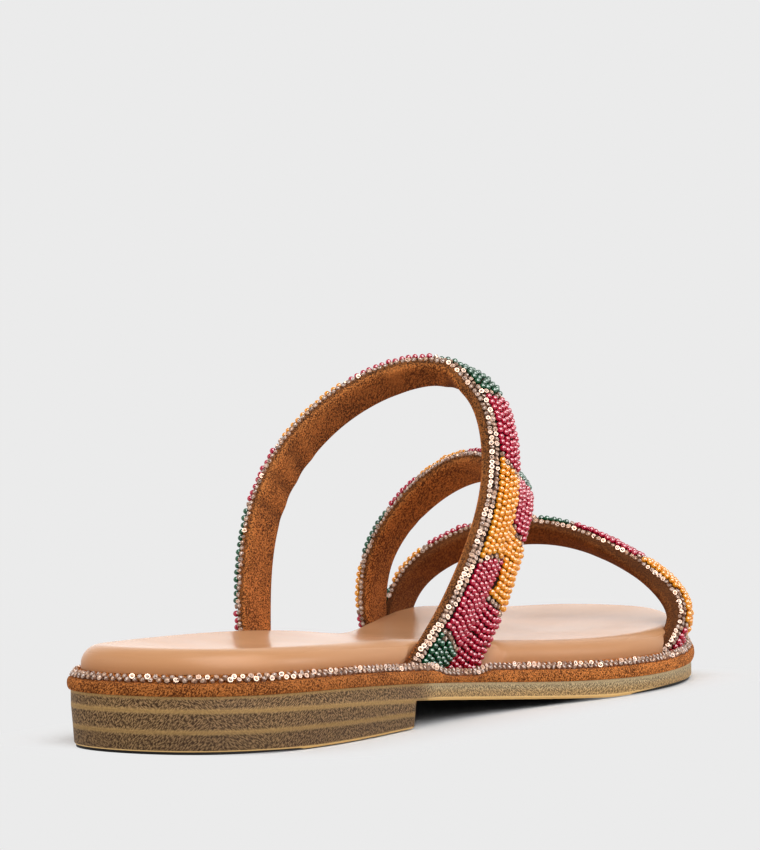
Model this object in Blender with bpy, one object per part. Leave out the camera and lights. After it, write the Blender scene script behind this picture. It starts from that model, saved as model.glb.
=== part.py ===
"""Flat slip-on sandal for the right foot: three joined straps over a padded footbed and a stacked heel.

Table sizes are in millimetres. The back of the heel is x = 0, the toe points to +X, the lateral
side is -Y and the ground is z = 0. An empty carries the pieces and puts the middle of the footprint
at the origin.
"""

from collections import namedtuple

import bmesh
import bpy
import numpy as np

MM = 0.001

# Driving sizes
LENGTH = 250.0          # back of the heel to the tip of the toe
TOE_TIP_Y = 5.0         # the toe's tip lies towards the medial side
GAP = 0.3               # between pieces that touch
BREAST_X = 74.0         # front face of the heel
SOLE_INSET = 0.8        # the outsole lies this far inside the rand
SOLE_EDGE = 0.5         # worn lower edge of the outsole
HEEL_TAPER = 0.35       # each heel lift narrows by this much
LIFT_SPLIT = 0.52       # share of the heel's height that is the lower lift
RAND_HEIGHT = 3.0       # wrapped midsole edge, above the outsole
RAND_EDGE = 0.6
TRIM_RADIUS = 1.05      # crystal cord that lies on the rand
TRIM_INSET = 1.35
FOOTBED_INSET = 3.2
FOOTBED_ROUND = 4.5     # radius of the footbed's upper edge
FOOTBED_FOOT = 0.4      # the footbed's lower edge tucks in behind the cord

# Straps
WALL = 2.3              # lining, padding and strap leather
FIELD = 1.9             # the bead field stands this far above the wall
FIELD_FOOT = 0.8        # and this far at the rand, where the cord runs past it
FIELD_GROWTH = (2.0, 14.0)    # heights above the rand between which it grows
RIM = 2.2               # strip of plain wall on each side of the bead field
FIELD_SLOPE = 0.5
STRAP_EDGE = 0.5
STRAP_INSET = 6.1       # a strap's inner face at the rand, from the outline
TUCK = 1.0              # where two straps meet, the one below lies this much further in
TOE_TURN = 1.3          # room for the outline's curve beside the toe strap's flat outer face
STRAP_SINK = 8.0        # length that runs on below the rand before it is cut off
CROWN_DIP = {"instep": 24.0, "middle": 24.0, "toe": 33.0}    # forward slope at the crown, degrees
DIP_GROWTH = 1.3        # power by which that slope grows with height
TWIST = {"instep": (0.385, 0.47), "middle": (0.0, 0.2), "toe": (0.35, 0.47)}    # shares where it sets in
TURN_FADE = 0.5         # share of the outline's turn that is lost at the crown
RECESS_SHARE = 0.3      # share of a strap's length, from each end, that is let into the footbed

# Points
STATIONS = 48           # rows from heel to toe on the sole's layers
HEEL_STATIONS = 16
STRAP_ROWS = {"instep": 54, "middle": 44, "toe": 40}
RECESS_ROWS = 14
FOOTBED_COLUMNS = 8
ROUND_STEPS = 4
SHARP_ANGLE = 35.0      # edges that turn by more than this are shaded sharp, degrees

# Half widths of the rand on both sides of the heel's middle line
OutlineRow = namedtuple("OutlineRow", "along lateral medial")
OUTLINE = [
    OutlineRow(0.030, 21.4, 22.4),
    OutlineRow(0.130, 32.2, 30.2),
    OutlineRow(0.280, 32.8, 29.4),
    OutlineRow(0.420, 32.4, 28.8),
    OutlineRow(0.550, 36.6, 34.4),
    OutlineRow(0.680, 43.0, 42.6),
    OutlineRow(0.820, 41.2, 44.5),
    OutlineRow(0.930, 27.0, 35.0),
    OutlineRow(0.985, 13.0, 22.0),
]

# Heights along the sole, with the footbed's thickness, its dish and its raised medial arch.
# A bottom below zero is cut off flat: that is the tread's flat spot under the ball.
LayerRow = namedtuple("LayerRow", "along sole_top sole_bottom footbed dish arch")
LAYERS = [
    LayerRow(0.000, 13.2, 10.0, 7.6, 0.0, 0.0),
    LayerRow(0.150, 12.6, 8.9, 7.0, 1.4, 0.0),
    LayerRow(0.295, 10.6, 6.6, 7.3, 1.2, 0.6),
    LayerRow(0.450, 7.6, 3.4, 7.3, 0.8, 0.7),
    LayerRow(0.580, 5.2, 0.9, 7.2, 0.8, 0.0),
    LayerRow(0.680, 4.3, -0.4, 7.2, 0.9, 1.0),
    LayerRow(0.780, 4.2, -0.5, 7.4, 0.9, 3.2),
    LayerRow(0.880, 5.0, 0.3, 7.2, 0.7, 1.6),
    LayerRow(1.000, 8.0, 3.9, 5.6, 0.0, 0.0),
]

# The middle strap is tucked under the instep strap, and the toe strap under the middle one
BASE_INSET = {
    ("instep", "lateral"): STRAP_INSET,
    ("instep", "medial"): STRAP_INSET,
    ("middle", "lateral"): STRAP_INSET + TUCK,
    ("middle", "medial"): STRAP_INSET,
    ("toe", "lateral"): STRAP_INSET + TOE_TURN,
    ("toe", "medial"): STRAP_INSET + TUCK,
}

# Middle line of each strap's inner face, from the lateral to the medial side. The first and the last
# row stand on the rand, where the outline and the seat give y and z.
StrapRow = namedtuple("StrapRow", "x y z width")
STRAPS = {
    "instep": [
        StrapRow(85.0, None, None, 13.5),
        StrapRow(118.0, -28.0, 42.0, 12.8),
        StrapRow(136.0, -19.0, 71.0, 12.5),
        StrapRow(135.0, -3.0, 81.5, 12.5),
        StrapRow(120.0, 16.0, 72.0, 12.5),
        StrapRow(100.5, 24.6, 47.5, 12.5),
        StrapRow(91.0, None, None, 12.5),
    ],
    "middle": [
        StrapRow(104.0, None, None, 16.5),
        StrapRow(122.5, -27.5, 37.5, 13.5),
        StrapRow(141.0, -22.0, 53.0, 12.5),
        StrapRow(160.0, -3.0, 56.5, 12.5),
        StrapRow(171.0, 18.0, 49.0, 12.5),
        StrapRow(175.5, 34.4, 31.0, 12.5),
        StrapRow(181.0, None, None, 12.5),
    ],
    "toe": [
        StrapRow(199.5, None, None, 12.5),
        StrapRow(206.0, -34.6, 16.0, 12.5),
        StrapRow(212.0, -24.0, 25.0, 12.5),
        StrapRow(210.5, -3.5, 35.5, 12.5),
        StrapRow(203.0, 19.0, 35.5, 12.5),
        StrapRow(195.0, 35.5, 24.5, 12.5),
        StrapRow(189.0, None, None, 12.5),
    ],
}

# Colour, roughness and metallic value of each piece
Finish = namedtuple("Finish", "color roughness metallic")
FINISHES = {
    "outsole": Finish((0.27, 0.21, 0.15), 0.75, 0.0),
    "heel_lift_upper": Finish((0.25, 0.19, 0.14), 0.75, 0.0),
    "heel_lift_lower": Finish((0.23, 0.18, 0.13), 0.75, 0.0),
    "midsole_rand": Finish((0.42, 0.19, 0.07), 0.9, 0.0),
    "crystal_trim": Finish((0.80, 0.72, 0.68), 0.2, 0.3),
    "footbed": Finish((0.74, 0.50, 0.34), 0.5, 0.0),
    "upper_straps": Finish((0.33, 0.15, 0.06), 0.8, 0.0),
}


def natural_spline(knots, values, at):
    """Natural cubic through one row of values for each knot, read at the given places."""
    knots = np.asarray(knots, float)
    values = np.asarray(values, float).reshape(len(knots), -1)
    at = np.atleast_1d(np.asarray(at, float))
    step = np.diff(knots)
    slope = np.diff(values, axis=0) / step[:, None]
    system = np.eye(len(knots))
    right = np.zeros_like(values)
    for i in range(1, len(knots) - 1):
        system[i, i - 1:i + 2] = step[i - 1], 2 * (step[i - 1] + step[i]), step[i]
        right[i] = 6 * (slope[i] - slope[i - 1])
    bend = np.linalg.solve(system, right)
    i = np.clip(np.searchsorted(knots, at) - 1, 0, len(knots) - 2)
    past = (at - knots[i])[:, None]
    left = (knots[i + 1] - at)[:, None]
    width = step[i][:, None]
    cubic = (bend[i] * left ** 3 + bend[i + 1] * past ** 3) / (6 * width)
    return cubic + (values[i] / width - bend[i] * width / 6) * left + (
        values[i + 1] / width - bend[i + 1] * width / 6) * past


def smooth_step(values, start, end):
    """Rises from 0 at start to 1 at end, level at both."""
    part = np.clip((values - start) / (end - start), 0.0, 1.0)
    return part * part * (3 - 2 * part)


def layer(name, x):
    """A column of the layer table along the sole."""
    knots = [row.along * LENGTH for row in LAYERS]
    return natural_spline(knots, [getattr(row, name) for row in LAYERS], x)[:, 0]


def sole_bottom(x):
    """The tread, flat on the ground under the ball."""
    return np.maximum(layer("sole_bottom", x), 0.0)


def seat(x):
    """Height of the rand's upper side, where the footbed, cord and straps stand."""
    return layer("sole_top", x) + RAND_HEIGHT


def outline(inset, count=720):
    """Closed outline from the heel's back along the lateral side, moved inwards by inset."""
    lateral = [(row.along * LENGTH, -row.lateral) for row in OUTLINE]
    medial = [(row.along * LENGTH, row.medial) for row in reversed(OUTLINE)]
    loop = np.array([(0.0, 0.0)] + lateral + [(LENGTH, TOE_TIP_Y)] + medial)
    lap = 4
    wrapped = np.vstack([loop[-lap:], loop, loop[:lap + 1]])
    chords = np.linalg.norm(np.diff(wrapped, axis=0), axis=1)
    knots = np.concatenate([[0.0], np.cumsum(np.sqrt(chords))])
    at = np.linspace(knots[lap], knots[lap + len(loop)], count, endpoint=False)
    points = natural_spline(knots, wrapped, at)
    ahead = natural_spline(knots, wrapped, at + 0.001) - points
    ahead /= np.linalg.norm(ahead, axis=1)[:, None]
    return points + inset * np.column_stack([-ahead[:, 1], ahead[:, 0]])


def sides(inset):
    """Lateral and medial edge of the outline, each from the heel's back to the toe."""
    points = outline(inset)
    points = np.roll(points, -int(np.argmin(points[:, 0])), axis=0)
    toe = int(np.argmax(points[:, 0]))
    lateral = points[:toe + 1]
    medial = np.vstack([points[toe:], points[:1]])[::-1]
    return lateral, medial


def edge_y(x, side, inset):
    """Where the outline lies at x on one side."""
    lateral, medial = sides(inset)
    edge = lateral if side == "lateral" else medial
    return np.interp(x, edge[:, 0], edge[:, 1])


def ring(inset, front=None):
    """Outline points in pairs across the sole: back, lateral side, front, then the medial side."""
    lateral, medial = sides(inset)
    if front is None:
        turn = np.linspace(0.0, np.pi, STATIONS + 1)
        x = lateral[0, 0] + (lateral[-1, 0] - lateral[0, 0]) * (1 - np.cos(turn)) / 2
    else:
        turn = np.linspace(0.0, np.pi / 2, HEEL_STATIONS + 1)
        x = lateral[0, 0] + (front - lateral[0, 0]) * (1 - np.cos(turn))
    near = np.column_stack([x, np.interp(x, lateral[:, 0], lateral[:, 1])])
    far = np.column_stack([x, np.interp(x, medial[:, 0], medial[:, 1])])
    last = -2 if front is None else len(far) - 1
    return np.vstack([near, far[last:0:-1]])


def raised(points, heights):
    """Ring points with their heights."""
    return np.column_stack([points, heights])


def close_ring(bm, loop, columns=1, height=None):
    """Fill a ring with rows across the sole; height gives z at the points between its edges."""
    count = len(loop)
    rows = [[loop[0]]]
    for i in range(1, (count + 1) // 2):
        start = loop[i]
        end = loop[count - i]
        inner = []
        for column in range(1, columns):
            point = start.co.lerp(end.co, column / columns)
            point.z = height(point.x / MM, point.y / MM) * MM
            inner.append(bm.verts.new(point))
        rows.append([start, *inner, end])
    if count % 2 == 0:
        rows.append([loop[count // 2]])
    for back, front in zip(rows, rows[1:]):
        if len(back) == 1:
            back = back * len(front)
        if len(front) == 1:
            front = front * len(back)
        for k in range(len(back) - 1):
            corners = dict.fromkeys((back[k], front[k], front[k + 1], back[k + 1]))
            bm.faces.new(list(corners))


def new_object(name, bm, collection):
    """A smooth-shaded object from a closed mesh, with its faces turned outwards."""
    bmesh.ops.recalc_face_normals(bm, faces=bm.faces)
    mesh = bpy.data.meshes.new(name)
    bm.to_mesh(mesh)
    bm.free()
    mesh.shade_smooth()
    mesh.set_sharp_from_angle(angle=np.radians(SHARP_ANGLE))
    obj = bpy.data.objects.new(name, mesh)
    collection.objects.link(obj)
    return obj


def loft(name, rings, collection, columns=1, height=None):
    """Closed solid through rings of equal count, from the lowest to the highest."""
    bm = bmesh.new()
    loops = [[bm.verts.new(point * MM) for point in points] for points in rings]
    count = len(loops[0])
    for low, high in zip(loops, loops[1:]):
        for i in range(count):
            j = (i + 1) % count
            bm.faces.new((low[i], low[j], high[j], high[i]))
    close_ring(bm, loops[0])
    close_ring(bm, loops[-1], columns, height)
    return new_object(name, bm, collection)


def make_outsole(parts):
    """The tread: it runs over the heel and stands on the ground under the ball."""
    low = ring(SOLE_INSET + SOLE_EDGE)
    side = ring(SOLE_INSET)
    rings = [
        raised(low, sole_bottom(low[:, 0])),
        raised(side, sole_bottom(side[:, 0]) + SOLE_EDGE),
        raised(side, layer("sole_top", side[:, 0])),
    ]
    return loft("outsole", rings, parts)


def make_heel_lift(name, lower, upper, inset, parts):
    """One layer of the heel between two height functions, with a small edge and a taper."""
    edge = ring(inset + HEEL_TAPER + SOLE_EDGE, BREAST_X - SOLE_EDGE)
    foot = ring(inset + HEEL_TAPER, BREAST_X)
    head = ring(inset, BREAST_X)
    rings = [
        raised(edge, lower(edge[:, 0])),
        raised(foot, lower(foot[:, 0]) + SOLE_EDGE),
        raised(head, upper(head[:, 0])),
    ]
    return loft(name, rings, parts)


def make_heel(parts):
    """Two lifts under the outsole's heel."""
    make_heel_lift(
        "heel_lift_upper",
        lambda x: sole_bottom(x) * LIFT_SPLIT + GAP / 2,
        lambda x: sole_bottom(x) - GAP,
        SOLE_INSET,
        parts,
    )
    make_heel_lift(
        "heel_lift_lower",
        lambda x: x * 0.0,
        lambda x: sole_bottom(x) * LIFT_SPLIT - GAP / 2,
        SOLE_INSET + HEEL_TAPER,
        parts,
    )


def make_rand(parts):
    """Wrapped midsole whose edge shows all round."""
    edge = ring(RAND_EDGE)
    side = ring(0.0)
    base = layer("sole_top", side[:, 0]) + GAP
    rings = [
        raised(edge, layer("sole_top", edge[:, 0]) + GAP),
        raised(side, base + RAND_EDGE),
        raised(side, seat(side[:, 0]) - RAND_EDGE),
        raised(edge, seat(edge[:, 0])),
    ]
    return loft("midsole_rand", rings, parts)


def make_trim(parts):
    """Crystal cord round the footbed, a closed tube that lies on the rand."""
    path = ring(TRIM_INSET)
    heights = seat(path[:, 0]) + GAP + TRIM_RADIUS
    curve = bpy.data.curves.new("crystal_trim", "CURVE")
    curve.dimensions = "3D"
    curve.bevel_depth = TRIM_RADIUS * MM
    curve.bevel_resolution = 2
    spline = curve.splines.new("POLY")
    spline.points.add(len(path) - 1)
    for point, place in zip(spline.points, raised(path, heights)):
        point.co = (*(place * MM), 1.0)
    spline.use_cyclic_u = True
    obj = bpy.data.objects.new("crystal_trim", curve)
    parts.objects.link(obj)
    return obj


def footbed_top(x, y):
    """Dished upper side of the footbed, raised along the medial arch."""
    rim = FOOTBED_INSET + FOOTBED_ROUND
    x = np.atleast_1d(x)
    lateral = edge_y(x, "lateral", rim)
    medial = edge_y(x, "medial", rim)
    half = np.maximum((medial - lateral) / 2, 1.0)
    across = np.clip((y - (lateral + medial) / 2) / half, -1.0, 1.0)
    dish = layer("dish", x) * (1 - across ** 2)
    arch = layer("arch", x) * np.maximum(across, 0.0) ** 2
    return seat(x) + layer("footbed", x) + arch - dish


def make_footbed(parts):
    """Padded insole with a round upper edge and a recess at each strap."""
    foot = ring(FOOTBED_INSET + FOOTBED_FOOT)
    side = ring(FOOTBED_INSET)
    top = ring(FOOTBED_INSET + FOOTBED_ROUND)
    crest = footbed_top(top[:, 0], top[:, 1])
    rings = [
        raised(foot, seat(foot[:, 0]) + GAP),
        raised(side, seat(side[:, 0]) + GAP + FOOTBED_FOOT),
    ]
    for angle in np.linspace(0.0, np.pi / 2, ROUND_STEPS + 1):
        points = ring(FOOTBED_INSET + FOOTBED_ROUND * (1 - np.cos(angle)))
        rings.append(raised(points, crest - FOOTBED_ROUND * (1 - np.sin(angle))))
    return loft("footbed", rings, parts, FOOTBED_COLUMNS, lambda x, y: footbed_top(x, y)[0])


def strap_sections(name):
    """Middle points of a strap's sections, with the two ends set on the rand."""
    rows = STRAPS[name]
    points = []
    for row in rows:
        if row.y is None:
            side = "lateral" if row is rows[0] else "medial"
            points.append((row.x, edge_y(row.x, side, BASE_INSET[name, side]), seat(row.x)[0]))
        else:
            points.append((row.x, row.y, row.z))
    return np.array(points), np.array([row.width for row in rows])


def edge_turn(x, side):
    """Direction of the outline seen from above, in radians."""
    reach = 2.0
    rise = edge_y(x + reach, side, STRAP_INSET) - edge_y(x - reach, side, STRAP_INSET)
    return np.arctan2(rise, 2 * reach)


def strap_frames(name, share):
    """Places along a strap with the way across it, the way out of it and its width."""
    points, widths = strap_sections(name)
    knots = np.linspace(0.0, 1.0, len(points))
    share = np.asarray(share, float)
    inside = np.clip(share, 0.0, 1.0)
    step = 0.0001
    middle = natural_spline(knots, points, inside)
    along = (natural_spline(knots, points, np.minimum(inside + step, 1.0))
             - natural_spline(knots, points, np.maximum(inside - step, 0.0)))
    along /= np.linalg.norm(along, axis=1)[:, None]
    crown = points[np.argmax(points[:, 2])]
    rise = np.clip((middle[:, 2] - seat(middle[:, 0])) / (crown[2] - seat(crown[0])), 0.0, 1.0)
    dip = np.radians(CROWN_DIP[name]) * rise ** DIP_GROWTH * smooth_step(inside, *TWIST[name])
    blend = smooth_step(inside, 0.0, 1.0)
    turn = edge_turn(points[0, 0], "lateral") * (1 - blend) + edge_turn(points[-1, 0], "medial") * blend
    turn *= 1 - TURN_FADE * rise
    forward = np.column_stack([np.cos(dip) * np.cos(turn), np.cos(dip) * np.sin(turn), -np.sin(dip)])
    across = forward - np.sum(forward * along, axis=1)[:, None] * along
    across /= np.linalg.norm(across, axis=1)[:, None]
    outward = np.cross(across, along)
    width = np.interp(inside, knots, widths)
    # Beyond its ends a strap runs straight on, down past the rand
    beyond = np.where(share < 0.0, -1.0, np.where(share > 1.0, 1.0, 0.0)) * STRAP_SINK
    return middle + beyond[:, None] * along, across, outward, width


def strap_profile(width, lift):
    """Strap section: a wall with rounded edges and the bead field as a step on its outer side."""
    half = width / 2
    field = half - RIM
    top = WALL + FIELD_FOOT + (FIELD - FIELD_FOOT) * smooth_step(lift, *FIELD_GROWTH)
    right = [
        (half - STRAP_EDGE, 0.0),
        (half, STRAP_EDGE),
        (half, WALL - STRAP_EDGE),
        (half - STRAP_EDGE, WALL),
        (field + FIELD_SLOPE, WALL),
        (field, top),
    ]
    return right + [(-across, out) for across, out in reversed(right)]


def recess_profile(width, lift):
    """Room that a strap takes out of the footbed, open to the outside at any height."""
    half = width / 2 + GAP
    outside = WALL + FIELD + FOOTBED_INSET
    return [(half, -GAP), (half, outside), (-half, outside), (-half, -GAP)]


def sweep(name, strap, shares, profile, collection):
    """Closed solid with a profile carried along a strap."""
    middles, across, outward, widths = strap_frames(strap, shares)
    lifts = middles[:, 2] - seat(middles[:, 0])
    bm = bmesh.new()
    loops = []
    for place, side, out, width, lift in zip(middles, across, outward, widths, lifts):
        corners = profile(width, lift)
        loops.append([bm.verts.new((place + side * a + out * b) * MM) for a, b in corners])
    count = len(loops[0])
    for low, high in zip(loops, loops[1:]):
        for i in range(count):
            j = (i + 1) % count
            bm.faces.new((low[i], low[j], high[j], high[i]))
    bm.faces.new(loops[0])
    bm.faces.new(loops[-1])
    return new_object(name, bm, collection)


def make_seat_cutter(guides):
    """Everything below the rand's upper side, to cut the straps off at their seat."""
    x = np.linspace(0.0, LENGTH, STATIONS)
    half = LENGTH / 2
    low = -2 * STRAP_SINK
    height = seat(x) + GAP
    bm = bmesh.new()
    rows = []
    for place, top in zip(x, height):
        corners = [(place, -half, low), (place, half, low), (place, half, top), (place, -half, top)]
        rows.append([bm.verts.new(np.array(corner) * MM) for corner in corners])
    for back, front in zip(rows, rows[1:]):
        for i in range(4):
            j = (i + 1) % 4
            bm.faces.new((back[i], back[j], front[j], front[i]))
    bm.faces.new(rows[0])
    bm.faces.new(rows[-1])
    return new_object("seat_cutter", bm, guides)


def add_boolean(obj, operation, other):
    """Join another solid to an object or cut it away, and keep the other out of sight."""
    modifier = obj.modifiers.new(f"{operation.lower()}_{other.name}", "BOOLEAN")
    modifier.operation = operation
    modifier.solver = "EXACT"
    modifier.object = other
    other.hide_render = True
    other.display_type = "WIRE"


def make_straps(parts, guides):
    """The upper: three straps, joined where the outer two meet the middle one."""
    bands = []
    for strap, rows in STRAP_ROWS.items():
        shares = np.concatenate([[-1.0], np.linspace(0.0, 1.0, rows), [2.0]])
        first = not bands
        name = "upper_straps" if first else f"{strap}_band"
        bands.append(sweep(name, strap, shares, strap_profile, parts if first else guides))
    upper = bands[0]
    for band in bands[1:]:
        add_boolean(upper, "UNION", band)
    add_boolean(upper, "DIFFERENCE", make_seat_cutter(guides))
    return upper


def cut_recesses(footbed, guides):
    """Take each strap's way down to the rand out of the footbed's side."""
    for strap in STRAPS:
        down = np.concatenate([[-1.0], np.linspace(0.0, RECESS_SHARE, RECESS_ROWS)])
        up = np.concatenate([np.linspace(1.0 - RECESS_SHARE, 1.0, RECESS_ROWS), [2.0]])
        for side, shares in (("lateral", down), ("medial", up)):
            recess = sweep(f"{strap}_{side}_recess", strap, shares, recess_profile, guides)
            add_boolean(footbed, "DIFFERENCE", recess)


def add_material(obj):
    """A plain finish in the piece's own colour."""
    finish = FINISHES[obj.name]
    material = bpy.data.materials.new(obj.name)
    material.use_nodes = True
    shader = material.node_tree.nodes["Principled BSDF"]
    shader.inputs["Base Color"].default_value = (*finish.color, 1.0)
    shader.inputs["Roughness"].default_value = finish.roughness
    shader.inputs["Metallic"].default_value = finish.metallic
    obj.data.materials.append(material)


def new_collection(name):
    """A collection in the scene."""
    collection = bpy.data.collections.new(name)
    bpy.context.scene.collection.children.link(collection)
    return collection


def main():
    """Build the sandal in an empty scene."""
    for obj in list(bpy.data.objects):
        bpy.data.objects.remove(obj, do_unlink=True)
    parts = new_collection("flat_sandal")
    guides = new_collection("flat_sandal_cutters")
    make_outsole(parts)
    make_heel(parts)
    make_rand(parts)
    make_trim(parts)
    footbed = make_footbed(parts)
    cut_recesses(footbed, guides)
    make_straps(parts, guides)
    footprint = ring(0.0)
    centre = (footprint.min(axis=0) + footprint.max(axis=0)) / 2
    stand = bpy.data.objects.new("sandal_stand", None)
    stand.location = (-centre[0] * MM, -centre[1] * MM, 0.0)
    pieces = list(parts.objects)
    for piece in pieces:
        add_material(piece)
    parts.objects.link(stand)
    for piece in pieces + list(guides.objects):
        piece.parent = stand


main()
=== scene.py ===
"""Beaded flat sandal, laid out as an add-on: each operator builds one kind of piece round the frame.

Table sizes are in millimetres unless a name says otherwise. The back of the heel is x = 0, the toe
points to +X, the lateral side is -Y and the ground is z = 0; pieces are moved by CENTRE when made.
"""

from collections import namedtuple
from functools import lru_cache

import bmesh
import bpy
import numpy as np
from mathutils import Matrix


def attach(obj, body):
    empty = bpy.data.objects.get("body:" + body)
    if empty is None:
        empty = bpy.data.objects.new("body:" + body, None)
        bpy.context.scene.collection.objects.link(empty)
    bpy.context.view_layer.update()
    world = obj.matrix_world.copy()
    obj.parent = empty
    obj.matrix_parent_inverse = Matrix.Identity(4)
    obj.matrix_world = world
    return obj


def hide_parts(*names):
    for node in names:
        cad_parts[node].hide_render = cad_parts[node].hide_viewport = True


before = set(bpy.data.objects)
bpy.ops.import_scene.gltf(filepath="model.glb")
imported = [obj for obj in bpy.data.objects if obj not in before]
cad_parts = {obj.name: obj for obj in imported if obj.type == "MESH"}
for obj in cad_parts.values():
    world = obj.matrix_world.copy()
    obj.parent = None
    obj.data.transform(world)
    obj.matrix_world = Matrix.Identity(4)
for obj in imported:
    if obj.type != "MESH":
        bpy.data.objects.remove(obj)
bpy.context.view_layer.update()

bl_info = {
    "name": "Beaded Flat Sandal",
    "version": (1, 0, 0),
    "blender": (4, 5, 0),
    "location": "View3D > Sidebar > Sandal",
    "description": "Builds the pieces, beads and finishes of a flat sandal round its frame",
    "category": "Object",
}

MM = 0.001
SEED = 11

# Sole, rand and footbed
LENGTH = 250.0
TOE_TIP_Y = 5.0
BREAST_X = 74.0
SOLE_INSET = 0.8
SOLE_EDGE = 0.5         # chamfer of the forefoot's lower edge
JOINT_EDGE = 0.05       # chamfer where board lies on board
LIFT_EDGE = 0.35        # chamfer of the heel's lower edge
SOLE_OVERLAP = 0.05     # the board reaches this far into the rand
HEEL_TAPER = 0.35
LIFT_SPLIT = 0.52
RAND_HEIGHT = 3.0
TRIM_INSET = 1.35
TRIM_RISE = 1.1         # middle of the trim above the rand
TRIM_TILT = 38.0        # degrees that its stones look up
TRIM_ZIGZAG = 0.42
ZIGZAG_UP = 0.8         # shares of the zigzag
ZIGZAG_IN = 0.6
FOOTBED_INSET = 3.2
FOOTBED_ROUND = 4.5
FOOTBED_FOOT = 0.4
FOOTBED_LIFT = 0.1      # clearance over the rand
FOOTBED_TONE = 0.8      # how much of the side's painted shade is left where the rounding begins
DISH_START = (8.0, 30.0)    # dish and arch begin and run out between these
DISH_END = (216.0, 240.0)
STATIONS = 150          # rows from heel to toe
HEEL_STATIONS = 60
FOOTBED_COLUMNS = 36
ROUND_STEPS = 9
OUTLINE_STEPS = 1440    # places round the outline

# Half widths of the rand on both sides of the heel's middle line
OutlineRow = namedtuple("OutlineRow", "along lateral medial")
OUTLINE = [
    OutlineRow(0.030, 21.4, 22.4),
    OutlineRow(0.130, 32.2, 30.2),
    OutlineRow(0.280, 32.8, 29.4),
    OutlineRow(0.420, 32.4, 28.8),
    OutlineRow(0.550, 36.6, 34.4),
    OutlineRow(0.680, 43.0, 42.6),
    OutlineRow(0.820, 40.2, 44.5),
    OutlineRow(0.930, 27.0, 35.0),
    OutlineRow(0.985, 13.0, 22.0),
]

# Heights along the sole, with the footbed's thickness, its dish and its raised medial arch
LayerRow = namedtuple("LayerRow", "along sole_top sole_bottom footbed dish arch")
LAYERS = [
    LayerRow(0.000, 13.2, 10.0, 7.6, 0.0, 0.0),
    LayerRow(0.150, 12.6, 8.9, 7.0, 1.4, 0.0),
    LayerRow(0.295, 10.6, 6.6, 7.3, 1.2, 0.6),
    LayerRow(0.450, 7.6, 3.4, 7.3, 0.8, 0.7),
    LayerRow(0.580, 5.2, 0.9, 7.2, 0.8, 0.0),
    LayerRow(0.680, 4.3, -0.4, 7.2, 0.9, 1.0),
    LayerRow(0.780, 4.2, -0.5, 7.4, 0.9, 3.2),
    LayerRow(0.880, 5.0, 0.3, 7.2, 0.7, 1.6),
    LayerRow(1.000, 8.0, 3.9, 5.6, 0.0, 0.0),
]

# Straps: middle line of each inner face, from the lateral to the medial side
CROWN_DIP = {"instep": 24.0, "middle": 24.0, "toe": 26.0}
DIP_GROWTH = {"instep": (1.3, 1.3), "middle": (1.3, 1.3), "toe": (0.55, 1.3)}    # lateral, medial
TurnRow = namedtuple("TurnRow", "share spread degrees")
LEG_TURN = {"toe": TurnRow(0.17, 0.11, 14.0)}    # further turn of a lateral leg
TWIST = {"instep": (0.385, 0.47), "middle": (0.0, 0.2), "toe": (0.02, 0.30)}
TURN_FADE = 0.5
STRAP_INSET = 6.1
BASE_INSET = {
    ("instep", "lateral"): 6.1,
    ("instep", "medial"): 6.1,
    ("middle", "lateral"): 7.1,
    ("middle", "medial"): 6.1,
    ("toe", "lateral"): 7.4,
    ("toe", "medial"): 7.1,
}
StrapRow = namedtuple("StrapRow", "x y z width")
STRAPS = {
    "instep": [
        StrapRow(85.0, None, None, 13.5),
        StrapRow(116.6, -28.0, 42.0, 13.4),
        StrapRow(136.0, -19.0, 71.0, 12.5),
        StrapRow(135.0, -3.0, 81.5, 12.5),
        StrapRow(120.0, 16.0, 72.0, 12.5),
        StrapRow(100.5, 24.6, 47.5, 12.5),
        StrapRow(91.0, None, None, 12.5),
    ],
    "middle": [
        StrapRow(104.0, None, None, 16.5),
        StrapRow(122.5, -27.5, 37.5, 13.5),
        StrapRow(141.0, -22.0, 53.0, 12.5),
        StrapRow(160.0, -3.0, 56.5, 12.5),
        StrapRow(171.0, 18.0, 49.0, 12.5),
        StrapRow(175.5, 34.4, 31.0, 12.5),
        StrapRow(181.0, None, None, 12.5),
    ],
    "toe": [
        StrapRow(199.5, None, None, 12.5),
        StrapRow(206.0, -34.6, 16.0, 12.5),
        StrapRow(212.0, -24.0, 25.0, 12.5),
        StrapRow(210.5, -3.5, 35.5, 12.5),
        StrapRow(203.0, 19.0, 35.5, 12.5),
        StrapRow(195.0, 35.5, 24.5, 12.5),
        StrapRow(189.0, None, None, 12.5),
    ],
}
# Small moves of a strap's line: share of the strap, spread and move
NudgeRow = namedtuple("NudgeRow", "strap share spread move")
NUDGES = [
    NudgeRow("instep", 0.13, 0.07, (-1.6, 0.0, 0.0)),
    NudgeRow("instep", 1.00, 0.25, (1.2, 0.0, 0.0)),
    NudgeRow("toe", 0.30, 0.13, (0.0, 0.0, 0.8)),
]
STRAP_STEP = 0.25       # spacing of a strap's own table of places
STRAP_REACH = 16.0      # that table runs on this far past both ends
PATH_STEPS = 1600       # steps that a strap's length is measured in
STAND_CLEAR = 0.15      # a strap's lines end this far above the rand
WALL_MIDDLE = 1.2       # middle of the wall, out of a strap's inner face
BAND_STEP = 0.6         # rows along a band
DOME = 0.33             # share of the wall's height that is lost at its edges
DOME_POWER = 2.6        # how late that loss sets in
FIELD_FOOT = 0.8        # height of the bead field at a strap's foot
FIELD_GROWTH = (2.0, 14.0)    # it grows to its full height between these heights over the rand
SWELL_FALL = 0.7        # share of a swell that is lost at the edges
BEAD_SINK = 0.2         # depth of a bead in the wall
LINING_PAD = 0.45       # padding of the lining
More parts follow.
